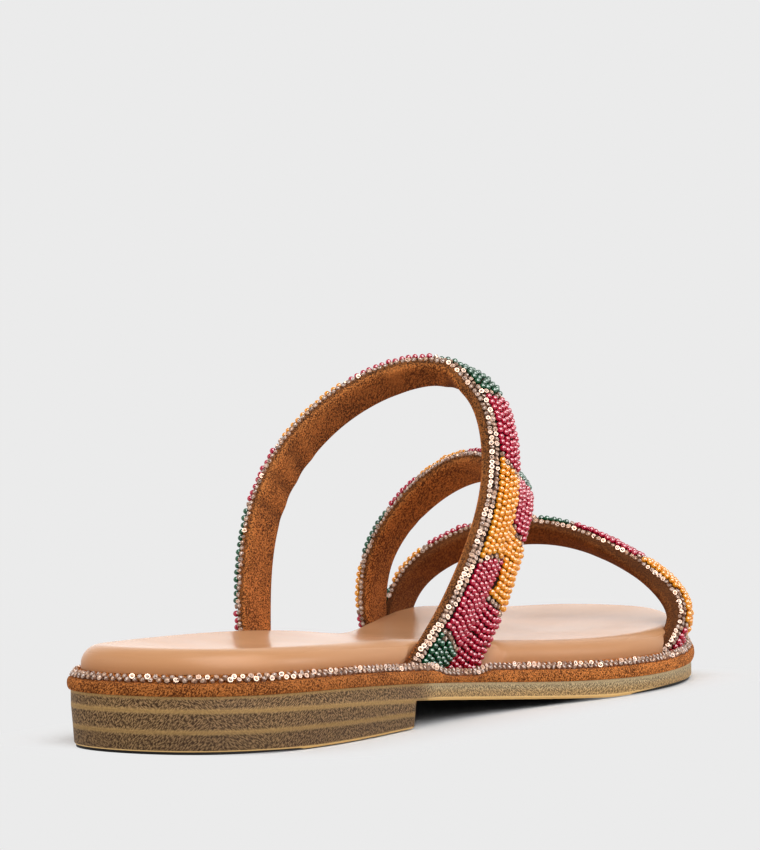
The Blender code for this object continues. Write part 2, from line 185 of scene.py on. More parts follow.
LINING_PUFF = 0.3       # further padding along its middle
LINING_GROWTH = (6.0, 16.0)   # which sets in between these heights over the rand
SHORT_FOLD = 3.0        # folds that spread less than this also get painted light on their ridges and painted shade in their troughs
SwellRow = namedtuple("SwellRow", "strap share spread height")
SWELLS = [    # padding under the beads, where a strap stands out further
    SwellRow("instep", 0.31, 0.15, 0.8),
    SwellRow("middle", 0.12, 0.06, 1.2),
    SwellRow("toe", 0.21, 0.20, 2.1),
    SwellRow("instep", 0.85, 0.14, 0.5),
    SwellRow("middle", 0.72, 0.20, 0.6),
    SwellRow("toe", 0.76, 0.16, 0.6),
]
TUCKED_UNDER = {"middle": "instep", "toe": "middle"}
FORK = {"instep": 0.2, "middle": 0.2}    # up to here the two lie side by side
DOUBLED = {"instep": 0.487, "toe": 0.22}    # up to here two crystal rows run along the back edge

# Colour blocks of the bead field: where each ends as a share of the strap, and the slant of that end
BlockRow = namedtuple("BlockRow", "color end slant")
BLOCKS = {
    "instep": [
        BlockRow("green", 0.044, 0.3),
        BlockRow("red", 0.143, 0.9),
        BlockRow("yellow", 0.258, -0.15),
        BlockRow("red", 0.361, 0.0),
        BlockRow("green", 0.487, 0.0),
        BlockRow("red", 0.629, 0.0),
        BlockRow("yellow", 0.747, 0.0),
        BlockRow("red", 0.829, 0.0),
        BlockRow("green", 0.943, 0.0),
        BlockRow("red", 2.0, 0.0),
    ],
    "middle": [
        BlockRow("red", 0.094, 0.15),
        BlockRow("yellow", 0.213, 0.0),
        BlockRow("red", 0.347, 0.0),
        BlockRow("green", 0.420, 0.0),
        BlockRow("red", 0.498, 0.0),
        BlockRow("yellow", 0.640, 0.0),
        BlockRow("red", 0.727, 0.0),
        BlockRow("green", 0.829, 0.0),
        BlockRow("yellow", 0.920, 0.0),
        BlockRow("red", 2.0, 0.0),
    ],
    "toe": [
        BlockRow("red", 0.120, 0.0),
        BlockRow("yellow", 0.355, 0.0),
        BlockRow("red", 0.503, 0.0),
        BlockRow("green", 0.565, 0.0),
        BlockRow("yellow", 0.670, 0.0),
        BlockRow("red", 0.767, 0.0),
        BlockRow("yellow", 0.860, 0.0),
        BlockRow("green", 2.0, 0.0),
    ],
}

# Soft folds of the lining: share of the strap, spread along it, height inwards, side it leans to
CreaseRow = namedtuple("CreaseRow", "strap share spread height lean")
CREASES = [
    CreaseRow("instep", 0.432, 4.2, 1.5, 1.0),
    CreaseRow("instep", 0.415, 1.4, 0.4, 1.0),
    CreaseRow("instep", 0.452, 1.4, -0.4, 1.0),
    CreaseRow("instep", 0.560, 2.4, 0.35, -0.6),
    CreaseRow("instep", 0.727, 1.6, 0.26, 0.6),
    CreaseRow("instep", 0.747, 1.8, -0.30, 0.2),
    CreaseRow("instep", 0.766, 1.4, 0.24, 0.5),
    CreaseRow("instep", 0.786, 1.8, -0.29, 0.1),
    CreaseRow("instep", 0.805, 1.4, 0.22, 0.5),
    CreaseRow("instep", 0.824, 1.7, -0.29, 0.2),
    CreaseRow("middle", 0.735, 1.2, -0.18, 0.4),
    CreaseRow("middle", 0.768, 1.2, -0.14, 0.4),
    CreaseRow("toe", 0.150, 24.0, 1.2, -0.3),
    CreaseRow("toe", 0.450, 1.8, 0.2, -0.6),
    CreaseRow("toe", 0.640, 2.4, -0.2, 0.2),
]

# The trim dips in front of the straps' lateral foot
DIP_START = (84.0, 91.0)
DIP_END = (104.0, 113.0)
DIP_DEPTH = 1.4
DIP_BULGE = 0.5

# Camera, in the table's frame
CAMERA_PLACE = (-901.74, -573.33, 114.48)
CAMERA_LOOK = (0.87039, 0.49088, -0.03820)
CAMERA_ROLL = -0.81
CAMERA_LENS = 200.93


def linear(red, green, blue):
    """A display colour of 0 to 255 as the linear values that shaders take."""
    shares = np.array([red, green, blue]) / 255.0
    values = np.where(shares <= 0.04045, shares / 12.92, ((shares + 0.055) / 1.055) ** 2.4)
    return (*(float(value) for value in values), 1.0)


def color_property(name, description, red, green, blue):
    """A colour setting with a display colour as its default."""
    return bpy.props.FloatVectorProperty(
        name=name, description=description, subtype="COLOR", size=4, min=0.0, max=1.0,
        default=linear(red, green, blue))


def length_property(name, description, millimetres):
    """A length setting with a default in millimetres."""
    return bpy.props.FloatProperty(
        name=name, description=description, subtype="DISTANCE", unit="LENGTH", min=0.0,
        precision=5, default=millimetres * MM)


class SandalSizes(bpy.types.PropertyGroup):
    """Sizes of the small pieces that are set on the sandal."""

    bead: length_property("Bead", "Diameter of a glass bead", 1.6)
    bead_pitch: length_property("Bead Pitch", "Distance between beads in a row", 1.72)
    column_pitch: length_property("Column Pitch", "Distance between bead columns", 1.86)
    stone: length_property("Stone", "Diameter of a crystal on the straps", 1.32)
    stone_pitch: length_property("Stone Pitch", "Distance between crystals in a row", 1.46)
    trim_stone: length_property("Trim Stone", "Diameter of a crystal on the rand", 1.26)
    trim_pitch: length_property("Trim Pitch", "Distance between crystals on the rand", 1.02)
    wall: length_property("Strap Wall", "Thickness of lining, padding and strap leather", 2.3)
    field: length_property("Bead Field", "Height of the bead field above the wall", 1.9)
    pocket: length_property("Pocket Edge", "Width over which the footbed yields beside a strap", 4.5)


class SandalColors(bpy.types.PropertyGroup):
    """Colours of the materials."""

    lining: color_property("Lining", "Suede inside the straps", 212, 131, 67)
    lining_dark: color_property("Lining Shade", "Suede inside the straps, brushed dark", 84, 46, 22)
    rand: color_property("Rand", "Suede of the rand", 226, 138, 68)
    rand_dark: color_property("Rand Shade", "Suede of the rand, brushed dark", 84, 42, 16)
    edge: color_property("Strap Edge", "Cut edge of the straps", 60, 35, 19)
    # Painted highlight along the lining's rounded edge.
    edge_pale: color_property("Edge Line", "Rubbed line along the lining's edge", 206, 160, 116)
    # Painted shade: the leather under the beads is made near-black, as the shade between the beads.
    ground: color_property("Bead Ground", "Leather under the beads", 34, 20, 14)
    footbed: color_property("Footbed", "Smooth leather of the footbed", 212, 158, 114)
    # Painted shade low on the footbed's side; also the tone that its slow mottle goes to.
    footbed_deep: color_property("Footbed Shade", "Footbed leather low on its side", 192, 132, 86)
    sole: color_property("Sole", "Stacked board of the sole and heel", 158, 123, 86)
    sole_stroke: color_property("Sole Stroke", "Dark strokes in the board", 48, 32, 20)
    sole_line: color_property("Sole Line", "Tan lines between the layers", 188, 150, 92)
    sole_foot: color_property("Sole Foot", "Pale lower edge of the forefoot", 240, 196, 128)
    sole_head: color_property("Sole Head", "Cream band under the rand of the forefoot", 214, 198, 160)
    tread: color_property("Tread", "Rubber underside", 30, 27, 26)
    red: color_property("Red Beads", "Ruby glass", 178, 0, 40)
    red_pale: color_property("Pale Red", "Ruby glass where it looks pale", 214, 34, 88)
    yellow: color_property("Yellow Beads", "Amber glass", 240, 148, 4)
    yellow_pale: color_property("Pale Yellow", "Amber glass where it looks pale", 255, 190, 60)
    green: color_property("Green Beads", "Emerald glass", 0, 62, 34)
    green_pale: color_property("Pale Green", "Emerald glass where it looks pale", 16, 132, 82)
    stone: color_property("Crystal", "Clear stones", 234, 214, 202)
    stone_warm: color_property("Warm Crystal", "Stones with a golden tint", 222, 180, 148)
    # Painted reflection: dark facets of the stones; the cups' scuffed tone also goes to it.
    stone_dark: color_property("Crystal Shade", "Stones where they look dark", 78, 50, 40)
    cup: color_property("Cup", "Metal cups of the crystals", 196, 160, 136)
    floor: color_property("Floor", "Floor and background", 235, 235, 235)
    floor_speck: color_property("Floor Speck", "Floor where it is a little darker", 225, 225, 226)
    room_low: color_property("Room Below", "Light of the room near the floor", 104, 106, 110)
    room_high: color_property("Room Above", "Light of the room overhead", 134, 134, 134)


def natural_spline(knots, values, at):
    """Natural cubic through one row of values for each knot, read at the given places."""
    knots = np.asarray(knots, float)
    values = np.asarray(values, float).reshape(len(knots), -1)
    at = np.atleast_1d(np.asarray(at, float))
    step = np.diff(knots)
    slope = np.diff(values, axis=0) / step[:, None]
    system = np.eye(len(knots))
    right = np.zeros_like(values)
    for i in range(1, len(knots) - 1):
        system[i, i - 1:i + 2] = step[i - 1], 2 * (step[i - 1] + step[i]), step[i]
        right[i] = 6 * (slope[i] - slope[i - 1])
    bend = np.linalg.solve(system, right)
    i = np.clip(np.searchsorted(knots, at) - 1, 0, len(knots) - 2)
    past = (at - knots[i])[:, None]
    left = (knots[i + 1] - at)[:, None]
    width = step[i][:, None]
    cubic = (bend[i] * left ** 3 + bend[i + 1] * past ** 3) / (6 * width)
    return cubic + (values[i] / width - bend[i] * width / 6) * left + (
        values[i + 1] / width - bend[i + 1] * width / 6) * past


def smooth_step(values, start, end):
    """Rises from 0 at start to 1 at end, level at both."""
    part = np.clip((values - start) / (end - start), 0.0, 1.0)
    return part * part * (3 - 2 * part)


def bell(share, row):
    """Soft hump of a table row: 1 at the row's share of a strap, fading over its spread."""
    return np.exp(-((share - row.share) / row.spread) ** 2)


def unit(vectors):
    """Vectors with their length made 1."""
    return vectors / np.linalg.norm(vectors, axis=1)[:, None]


def run_along(points):
    """Distance of each point from the first, along their line."""
    return np.concatenate([[0.0], np.cumsum(np.linalg.norm(np.diff(points, axis=0), axis=1))])


def layer(name, x):
    """A column of the layer table along the sole."""
    knots = [row.along * LENGTH for row in LAYERS]
    return natural_spline(knots, [getattr(row, name) for row in LAYERS], x)[:, 0]


def sole_bottom(x):
    """The tread, flat on the ground under the ball."""
    return np.maximum(layer("sole_bottom", x), 0.0)


def seat(x):
    """Height of the rand's upper side."""
    return layer("sole_top", x) + RAND_HEIGHT


@lru_cache(maxsize=None)
def sides(inset):
    """Lateral and medial edge of the outline, moved inwards by inset, each from heel to toe."""
    lateral = [(row.along * LENGTH, -row.lateral) for row in OUTLINE]
    medial = [(row.along * LENGTH, row.medial) for row in reversed(OUTLINE)]
    loop = np.array([(0.0, 0.0)] + lateral + [(LENGTH, TOE_TIP_Y)] + medial)
    lap = 4
    wrapped = np.vstack([loop[-lap:], loop, loop[:lap + 1]])
    chords = np.linalg.norm(np.diff(wrapped, axis=0), axis=1)
    knots = np.concatenate([[0.0], np.cumsum(np.sqrt(chords))])
    at = np.linspace(knots[lap], knots[lap + len(loop)], OUTLINE_STEPS, endpoint=False)
    points = natural_spline(knots, wrapped, at)
    ahead = unit(natural_spline(knots, wrapped, at + 0.001) - points)
    points = points + inset * np.column_stack([-ahead[:, 1], ahead[:, 0]])
    points = np.roll(points, -int(np.argmin(points[:, 0])), axis=0)
    toe = int(np.argmax(points[:, 0]))
    return points[:toe + 1], np.vstack([points[toe:], points[:1]])[::-1]


def edge_y(x, side, inset):
    """Where the outline lies at x on one side."""
    edge = sides(inset)[0 if side == "lateral" else 1]
    return np.interp(x, edge[:, 0], edge[:, 1])


def ring(inset, front=None):
    """Outline points in pairs across the sole: back, lateral side, front, then the medial side."""
    lateral, medial = sides(round(float(inset), 4))
    if front is None:
        turn = np.linspace(0.0, np.pi, STATIONS + 1)
        x = lateral[0, 0] + (lateral[-1, 0] - lateral[0, 0]) * (1 - np.cos(turn)) / 2
    else:
        turn = np.linspace(0.0, np.pi / 2, HEEL_STATIONS + 1)
        x = lateral[0, 0] + (front - lateral[0, 0]) * (1 - np.cos(turn))
    near = np.column_stack([x, np.interp(x, lateral[:, 0], lateral[:, 1])])
    far = np.column_stack([x, np.interp(x, medial[:, 0], medial[:, 1])])
    last = -2 if front is None else len(far) - 1
    return np.vstack([near, far[last:0:-1]])


FOOTPRINT = ring(0.0)
CENTRE = np.append((FOOTPRINT.min(axis=0) + FOOTPRINT.max(axis=0)) / 2, 0.0)


def trim_dip(points):
    """Share of the trim's dip at each point, in front of the straps' lateral foot."""
    x = points[:, 0]
    share = smooth_step(x, *DIP_START) * (1 - smooth_step(x, *DIP_END))
    return np.where(points[:, 1] < 0.0, share, 0.0)


def footbed_top(x, y):
    """Dished upper side of the footbed, raised along the medial arch."""
    rim = FOOTBED_INSET + FOOTBED_ROUND
    x = np.atleast_1d(x)
    lateral = edge_y(x, "lateral", rim)
    medial = edge_y(x, "medial", rim)
    half = np.maximum((medial - lateral) / 2, 1.0)
    across = np.clip((y - (lateral + medial) / 2) / half, -1.0, 1.0)
    level = smooth_step(x, *DISH_START) * (1 - smooth_step(x, *DISH_END))
    dish = layer("dish", x) * level * (1 - across ** 2)
    arch = layer("arch", x) * level * np.maximum(across, 0.0) ** 2
    return seat(x) + layer("footbed", x) + arch - dish


def strap_sections(name):
    """Middle points and widths of a strap's sections, with the two ends set on the rand."""
    rows = STRAPS[name]
    points = []
    for row in rows:
        if row.y is None:
            side = "lateral" if row is rows[0] else "medial"
            points.append((row.x, edge_y(row.x, side, BASE_INSET[name, side]), seat(row.x)[0]))
        else:
            points.append((row.x, row.y, row.z))
    return np.array(points), np.array([row.width for row in rows])


def edge_turn(x, side):
    """Direction of the outline seen from above, in radians."""
    reach = 2.0
    rise = edge_y(x + reach, side, STRAP_INSET) - edge_y(x - reach, side, STRAP_INSET)
    return np.arctan2(rise, 2 * reach)


class Strap:
    """A strap's middle line in small steps, with its directions, width and height over the rand."""

    def __init__(self, name):
        self.name = name
        points, widths = strap_sections(name)
        knots = np.linspace(0.0, 1.0, len(points))
        fine = np.linspace(0.0, 1.0, PATH_STEPS + 1)
        line = self.path(knots, points, fine)
        run = run_along(line)
        self.length = run[-1]
        self.s = np.arange(-STRAP_REACH, self.length + STRAP_REACH, STRAP_STEP)
        self.share = np.interp(self.s, run, fine)
        step = 0.0001
        middle = self.path(knots, points, self.share)
        along = unit(self.path(knots, points, np.minimum(self.share + step, 1.0))
                     - self.path(knots, points, np.maximum(self.share - step, 0.0)))
        crown = points[np.argmax(points[:, 2])]
        rise = np.clip((middle[:, 2] - seat(middle[:, 0])) / (crown[2] - seat(crown[0])), 0.0, 1.0)
        growth = np.where(self.share < 0.5, *DIP_GROWTH[name])
        dip = np.radians(CROWN_DIP[name]) * rise ** growth * smooth_step(self.share, *TWIST[name])
        blend = smooth_step(self.share, 0.0, 1.0)
        turn = edge_turn(points[0, 0], "lateral") * (1 - blend) + edge_turn(points[-1, 0], "medial") * blend
        turn *= 1 - TURN_FADE * rise
        if name in LEG_TURN:
            turn = turn + np.radians(LEG_TURN[name].degrees) * bell(self.share, LEG_TURN[name])
        forward = np.column_stack(
            [np.cos(dip) * np.cos(turn), np.cos(dip) * np.sin(turn), -np.sin(dip)])
        across = unit(forward - np.sum(forward * along, axis=1)[:, None] * along)
        self.along = along
        self.across = across
        self.out = np.cross(across, along)
        past = self.s - np.clip(self.s, 0.0, self.length)
        self.middle = middle + past[:, None] * along
        self.half = np.interp(self.share, knots, widths) / 2
        self.lift = self.middle[:, 2] - seat(self.middle[:, 0])
        self.ending = np.minimum(self.s, self.length - self.s)

    def path(self, knots, points, share):
        """The middle line through the sections, with its small moves."""
        line = natural_spline(knots, points, share)
        for row in NUDGES:
            if row.strap == self.name:
                line = line + bell(share, row)[:, None] * np.array(row.move)
        return line

    def line(self, across, out):
        """Points of a line that runs beside the middle one."""
        return self.middle + self.across * np.reshape(across, (-1, 1)) + self.out * np.reshape(out, (-1, 1))

    def standing(self, points):
        """First and last step of a line that stand clear of the rand."""
        base = seat(points[:, 0]) - DIP_DEPTH * trim_dip(points) + STAND_CLEAR
        above = points[:, 2] > base
        middle = len(points) // 2
        low = middle - int(np.argmin(above[middle::-1])) + 1
        high = middle + int(np.argmin(above[middle:])) - 1
        return low, high

    def places(self, across, out, pitch, shift=0.0):
        """Table positions at equal distances on a line beside the middle one."""
        points = self.line(across, out)
        low, high = self.standing(points)
        run = run_along(points)
        at = np.arange(run[low] + pitch * (0.5 + shift), run[high] - pitch * 0.4, pitch)
        return np.interp(at, run, np.arange(len(run)))

    def distance(self, share):
        """Distance along the strap at a share of it."""
        past = int(STRAP_REACH / STRAP_STEP)
        return np.interp(share, self.share[past:-past], self.s[past:-past])

    def read(self, values, at):
        """A table of the strap read between its steps."""
        low = np.floor(at).astype(int)
        part = at - low
        if values.ndim > 1:
            part = part[:, None]
        return values[low] * (1 - part) + values[np.minimum(low + 1, len(values) - 1)] * part

    def beside(self, points):
        """How far points lie across and out of the strap, with the step nearest to each."""
        near = []
        for point in points:
            gap = self.middle + self.out * WALL_MIDDLE - point
            near.append(int(np.argmin(np.einsum("ij,ij->i", gap, gap))))
        away = points - self.middle[near]
        across = np.einsum("ij,ij->i", away, self.across[near])
        out = np.einsum("ij,ij->i", away, self.out[near])
        return across, out, np.array(near)


@lru_cache(maxsize=None)
def strap(name):
    """The strap's table, worked out once."""
    return Strap(name)


def wall_height(band, across, sizes):
    """Height of a strap's domed outer side, under its beads, at each step."""
    top = FIELD_FOOT + (sizes.field / MM - FIELD_FOOT) * smooth_step(band.lift, *FIELD_GROWTH)
    crown = sizes.wall / MM + top - sizes.bead / MM + BEAD_SINK
    fall = np.minimum(np.abs(across) / band.half, 1.0) ** DOME_POWER
    height = crown * (1 - DOME * fall)
    for row in SWELLS:
        if row.strap == band.name:
            height = height + row.height * bell(band.share, row) * (1 - SWELL_FALL * fall)
    return height


def add_object(name, data):
    """A new object in the scene."""
    obj = bpy.data.objects.new(name, data)
    bpy.context.scene.collection.objects.link(obj)
    return obj


class Skin:
    """Points and faces of one closed piece, with a place on its surface for each corner."""

    def __init__(self):
        self.points = []
        self.faces = []
        self.places = []
        self.finish = []

    def row(self, points):
        """Add points in the table's frame; returns their numbers."""
        start = len(self.points)
        self.points.extend((np.asarray(points, float) - CENTRE) * MM)
        return list(range(start, len(self.points)))

    def face(self, corners, places, finish=0):
        """Add a face; corners named twice are taken once."""
        kept = dict(zip(corners, places))
        if len(kept) > 2:
            self.faces.append(list(kept))
            self.places.append(list(kept.values()))
            self.finish.append(finish)

    def tube(self, rows, spots):
        """Join closed rows of equal count; spots gives each point's place on the surface."""
        count = len(rows[0])
        for r in range(len(rows) - 1):
            for i in range(count):
                j = (i + 1) % count
                here, ahead = (i, j) if j else (i - 1, i)
                step = spots[r][ahead][0] - spots[r][here][0]
                wrap = (spots[r][i][0] + step, spots[r][j][1])
                wrap_up = (spots[r + 1][i][0] + step, spots[r + 1][j][1])
                corners = (rows[r][i], rows[r][j], rows[r + 1][j], rows[r + 1][i])
                places = (spots[r][i], wrap, wrap_up, spots[r + 1][i])
                self.face(corners, places)

    def cap(self, loop, columns=1, height=None, finish=0):
        """Fill a ring of the sole with rows across it; height gives z between its edges."""
        count = len(loop)
        rows = [[loop[0]]]
        for i in range(1, (count + 1) // 2):
            start = self.points[loop[i]] / MM + CENTRE
            end = self.points[loop[count - i]] / MM + CENTRE
            inner = []
            if columns > 1:
                part = np.linspace(0.0, 1.0, columns + 1)[1:-1, None]
                points = start * (1 - part) + end * part
                points[:, 2] = height(points[:, 0], points[:, 1])
                inner = self.row(points)
            rows.append([loop[i], *inner, loop[count - i]])
        if count % 2 == 0:
            rows.append([loop[count // 2]])
        for back, front in zip(rows, rows[1:]):
            back = back * len(front) if len(back) == 1 else back
            front = front * len(back) if len(front) == 1 else front
            for k in range(len(back) - 1):
                corners = (back[k], front[k], front[k + 1], back[k + 1])
                self.face(corners, [tuple(self.points[c][:2]) for c in corners], finish)

    def piece(self, name, materials, sharp=40.0, **values):
        """Make the object, with one value for each point under the given names."""
        mesh = bpy.data.meshes.new(name)
        mesh.from_pydata([tuple(point) for point in self.points], [], self.faces)
        layer_uv = mesh.uv_layers.new(name="surface")
        layer_uv.uv.foreach_set("vector", np.array([p for f in self.places for p in f], float).ravel())
        mesh.polygons.foreach_set("material_index", self.finish)
        for label, numbers in values.items():
            attribute = mesh.attributes.new(label, "FLOAT", "POINT")
            filled = np.zeros(len(self.points))
            filled[:len(numbers)] = numbers
            attribute.data.foreach_set("value", filled)
        bm = bmesh.new()
        bm.from_mesh(mesh)
        bmesh.ops.recalc_face_normals(bm, faces=bm.faces)
        bm.to_mesh(mesh)
        bm.free()
        mesh.shade_smooth()
        mesh.set_sharp_from_angle(angle=np.radians(sharp))
        for material in materials:
            mesh.materials.append(material)
        return add_object(name, mesh)


def ring_spots(points, heights):
    """Surface places of a ring: the way round it and its height, in metres."""
    return list(zip(run_along(points[:, :2]) * MM, np.asarray(heights) * MM))


def dress(obj, slot, *nodes):
    """Tie a piece to the frame's body and hide the nodes of model.glb that it stands for; the finish slot is
    not used.
    """
    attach(obj, "root")
    if nodes:
        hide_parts(*nodes)


def feed(tree, socket, value):
    """Link a socket to another one, or set it to a value."""
    if isinstance(value, bpy.types.NodeSocket):
        tree.links.new(value, socket)
    else:
        socket.default_value = value


def add_node(tree, kind, inputs=None, **settings):
    """A node with its settings, and its inputs set to values or linked to sockets."""
    made = tree.nodes.new(kind)
    for key, value in settings.items():
        setattr(made, key, value)
    for key, value in (inputs or {}).items():
        feed(tree, made.inputs[key], value)
    return made


def math(tree, operation, first, second=0.0):
    """Result of a math node."""
    return add_node(tree, "ShaderNodeMath", {0: first, 1: second}, operation=operation).outputs[0]


def times(tree, first, second):
    """Product of two values."""
    return math(tree, "MULTIPLY", first, second)


def plus(tree, first, second):
    """Sum of two values."""
    return math(tree, "ADD", first, second)


def remap(tree, value, low, high, start=0.0, end=1.0):
    """A value carried smoothly from one range to another."""
    inputs = {"Value": value, "From Min": low, "From Max": high, "To Min": start, "To Max": end}
    made = add_node(tree, "ShaderNodeMapRange", inputs, interpolation_type="SMOOTHSTEP")
    return made.outputs["Result"]


def enabled(sockets, name):
    """The socket of that name that a node's settings leave in use."""
    return next(socket for socket in sockets if socket.enabled and socket.name == name)


def mix_color(tree, factor, first, second):
    """Two colours mixed by a factor."""
    made = add_node(tree, "ShaderNodeMix", data_type="RGBA")
    for name, value in (("Factor", factor), ("A", first), ("B", second)):
        feed(tree, enabled(made.inputs, name), value)
    return enabled(made.outputs, "Result")


def noise(tree, vector, scale, detail=2.0, roughness=0.5):
    """Value of a noise texture."""
    inputs = {"Vector": vector, "Scale": scale, "Detail": detail, "Roughness": roughness}
    return add_node(tree, "ShaderNodeTexNoise", inputs).outputs["Fac"]


def object_place(tree):
    """Object coordinates."""
    return tree.nodes.new("ShaderNodeTexCoord").outputs["Object"]


def attribute(tree, name):
    """A value stored on the mesh."""
    return add_node(tree, "ShaderNodeAttribute", attribute_name=name).outputs["Fac"]


def new_group(name, inputs, outputs):
    """A shader node group with its own sockets, and its two end nodes."""
    tree = bpy.data.node_groups.new(name, "ShaderNodeTree")
    for label, kind, value in inputs:
        socket = tree.interface.new_socket(label, in_out="INPUT", socket_type=kind)
        if value is not None:
            socket.default_value = value
    for label, kind in outputs:
        tree.interface.new_socket(label, in_out="OUTPUT", socket_type=kind)
    return tree, tree.nodes.new("NodeGroupInput"), tree.nodes.new("NodeGroupOutput")


def nap_group():
    """Brushed suede: large brush marks and short fibres."""
    name = "Suede Nap"
    if name in bpy.data.node_groups:
        return bpy.data.node_groups[name]
    tree, given, put = new_group(
        name,
        [("Vector", "NodeSocketVector", None), ("Mark", "NodeSocketFloat", 120.0),
         ("Fibre", "NodeSocketFloat", 2700.0)],
        [("Shade", "NodeSocketFloat"), ("Height", "NodeSocketFloat")])
    marks = noise(tree, given.outputs["Vector"], given.outputs["Mark"], 3.0)
    fibres = noise(tree, given.outputs["Vector"], given.outputs["Fibre"], 4.0, 0.6)
    slanted = add_node(tree, "ShaderNodeMapping", {
        "Vector": given.outputs["Vector"], "Rotation": (0.7, 0.5, 0.8), "Scale": (2.8, 0.67, 0.67)},
        vector_type="TEXTURE")
    finer = times(tree, given.outputs["Fibre"], 0.8)
    streaks = noise(tree, slanted.outputs["Vector"], finer, 2.0)
    short = plus(tree, times(tree, fibres, 0.45), times(tree, streaks, 0.45))
    both = plus(tree, times(tree, marks, 0.14), short)
    tree.links.new(remap(tree, both, 0.45, 0.595), put.inputs["Shade"])
    tree.links.new(short, put.inputs["Height"])
    return tree


def mottle_group():
    """Slow uneven tone, for leather and board."""
    name = "Slow Mottle"
    if name in bpy.data.node_groups:
        return bpy.data.node_groups[name]
    tree, given, put = new_group(
        name,
        [("Vector", "NodeSocketVector", None), ("Scale", "NodeSocketFloat", 40.0)],
        [("Tone", "NodeSocketFloat")])
    slow = noise(tree, given.outputs["Vector"], given.outputs["Scale"], 3.0, 0.55)
    tree.links.new(remap(tree, slow, 0.3, 0.7), put.inputs["Tone"])
    return tree


def use_group(tree, group, **inputs):
    """A group node with its inputs set."""
    return add_node(tree, "ShaderNodeGroup", inputs, node_tree=group).outputs


def new_material(name):
    """A material with its tree and its Principled shader."""
    material = bpy.data.materials.new(name)
    material.use_nodes = True
    return material, material.node_tree, material.node_tree.nodes["Principled BSDF"]


def finish(tree, shader, color, roughness, height=None, distance=0.0, strength=0.0, **fixed):
    """Feed a shader its colour, roughness and bump, and set its fixed inputs."""
    feed(tree, shader.inputs["Base Color"], color)
    feed(tree, shader.inputs["Roughness"], roughness)
    if height is not None:
        bump = add_node(tree, "ShaderNodeBump", {
            "Height": height, "Distance": distance, "Strength": strength})
        tree.links.new(bump.outputs["Normal"], shader.inputs["Normal"])
    for label, value in fixed.items():
        shader.inputs[label.replace("_", " ")].default_value = value


def suede_material(name, light, dark, straps=None):
    """Brushed suede with painted shade where a point asks for it; that of the straps also has folds with
    painted light and shade, a dark cut edge, a painted highlight line along the lining's edge and a
    near-black ground under the beads as painted shade.
    """
    material, tree, shader = new_material(name)
    nap = use_group(tree, nap_group(), Vector=object_place(tree))
    color = mix_color(tree, nap["Shade"], dark, light)
    if straps is not None:
        # Painted light on the short folds' ridges and painted shade in their troughs.
        fold = attribute(tree, "fold")
        color = mix_color(tree, remap(tree, fold, 0.0, 0.24, 0.0, 0.5), color, light)
        color = mix_color(tree, remap(tree, fold, 0.0, -0.24, 0.0, 0.75), color, dark)
        cut = remap(tree, attribute(tree, "cut_edge"), 0.25, 0.75)
        brushed = mix_color(tree, times(tree, nap["Shade"], 0.45), straps.edge, light)
        color = mix_color(tree, cut, color, brushed)
        # Painted highlight along the lining's rounded edge.
        rubbed = times(tree, remap(tree, attribute(tree, "rubbed"), 0.6, 1.0), 0.55)
        color = mix_color(tree, rubbed, color, straps.edge_pale)
        # Painted shade: the ground between the beads and beside the edge crystals is near-black.
        ground = remap(tree, attribute(tree, "ground"), 0.3, 0.9)
        color = mix_color(tree, ground, color, straps.ground)
    # Painted shade: darkened towards the dark suede by a value stored on each point.
    color = mix_color(tree, attribute(tree, "worn"), color, dark)
    finish(tree, shader, color, 0.92, nap["Height"], distance=0.00022, strength=0.8, Sheen_Weight=0.04,
           Sheen_Roughness=0.5, Specular_IOR_Level=0.05)
    shader.inputs["Sheen Tint"].default_value = light
    return material


def leather_material(colors):
    """Smooth footbed leather, with painted shade low on its side."""
    material, tree, shader = new_material("smooth_leather")
    place = object_place(tree)
    tone = use_group(tree, mottle_group(), Vector=place, Scale=34.0)["Tone"]
    grain = noise(tree, place, 900.0, 3.0, 0.6)
    # Painted shade low on the footbed's side; the same mark makes the side a little rougher.
    depth = remap(tree, attribute(tree, "side"), 0.15, 1.0)
    color = mix_color(tree, times(tree, depth, 0.85), colors.footbed, colors.footbed_deep)
    color = mix_color(tree, times(tree, tone, 0.2), color, colors.footbed_deep)
    slow = noise(tree, place, 55.0, 2.0)
    height = plus(tree, times(tree, slow, 0.35), times(tree, grain, 0.002))
    rough = plus(tree, remap(tree, slow, 0.3, 0.7, 0.22, 0.27), times(tree, depth, 0.2))
    finish(tree, shader, color, rough, height, distance=0.0003, strength=0.4, Specular_IOR_Level=0.09)
    return material


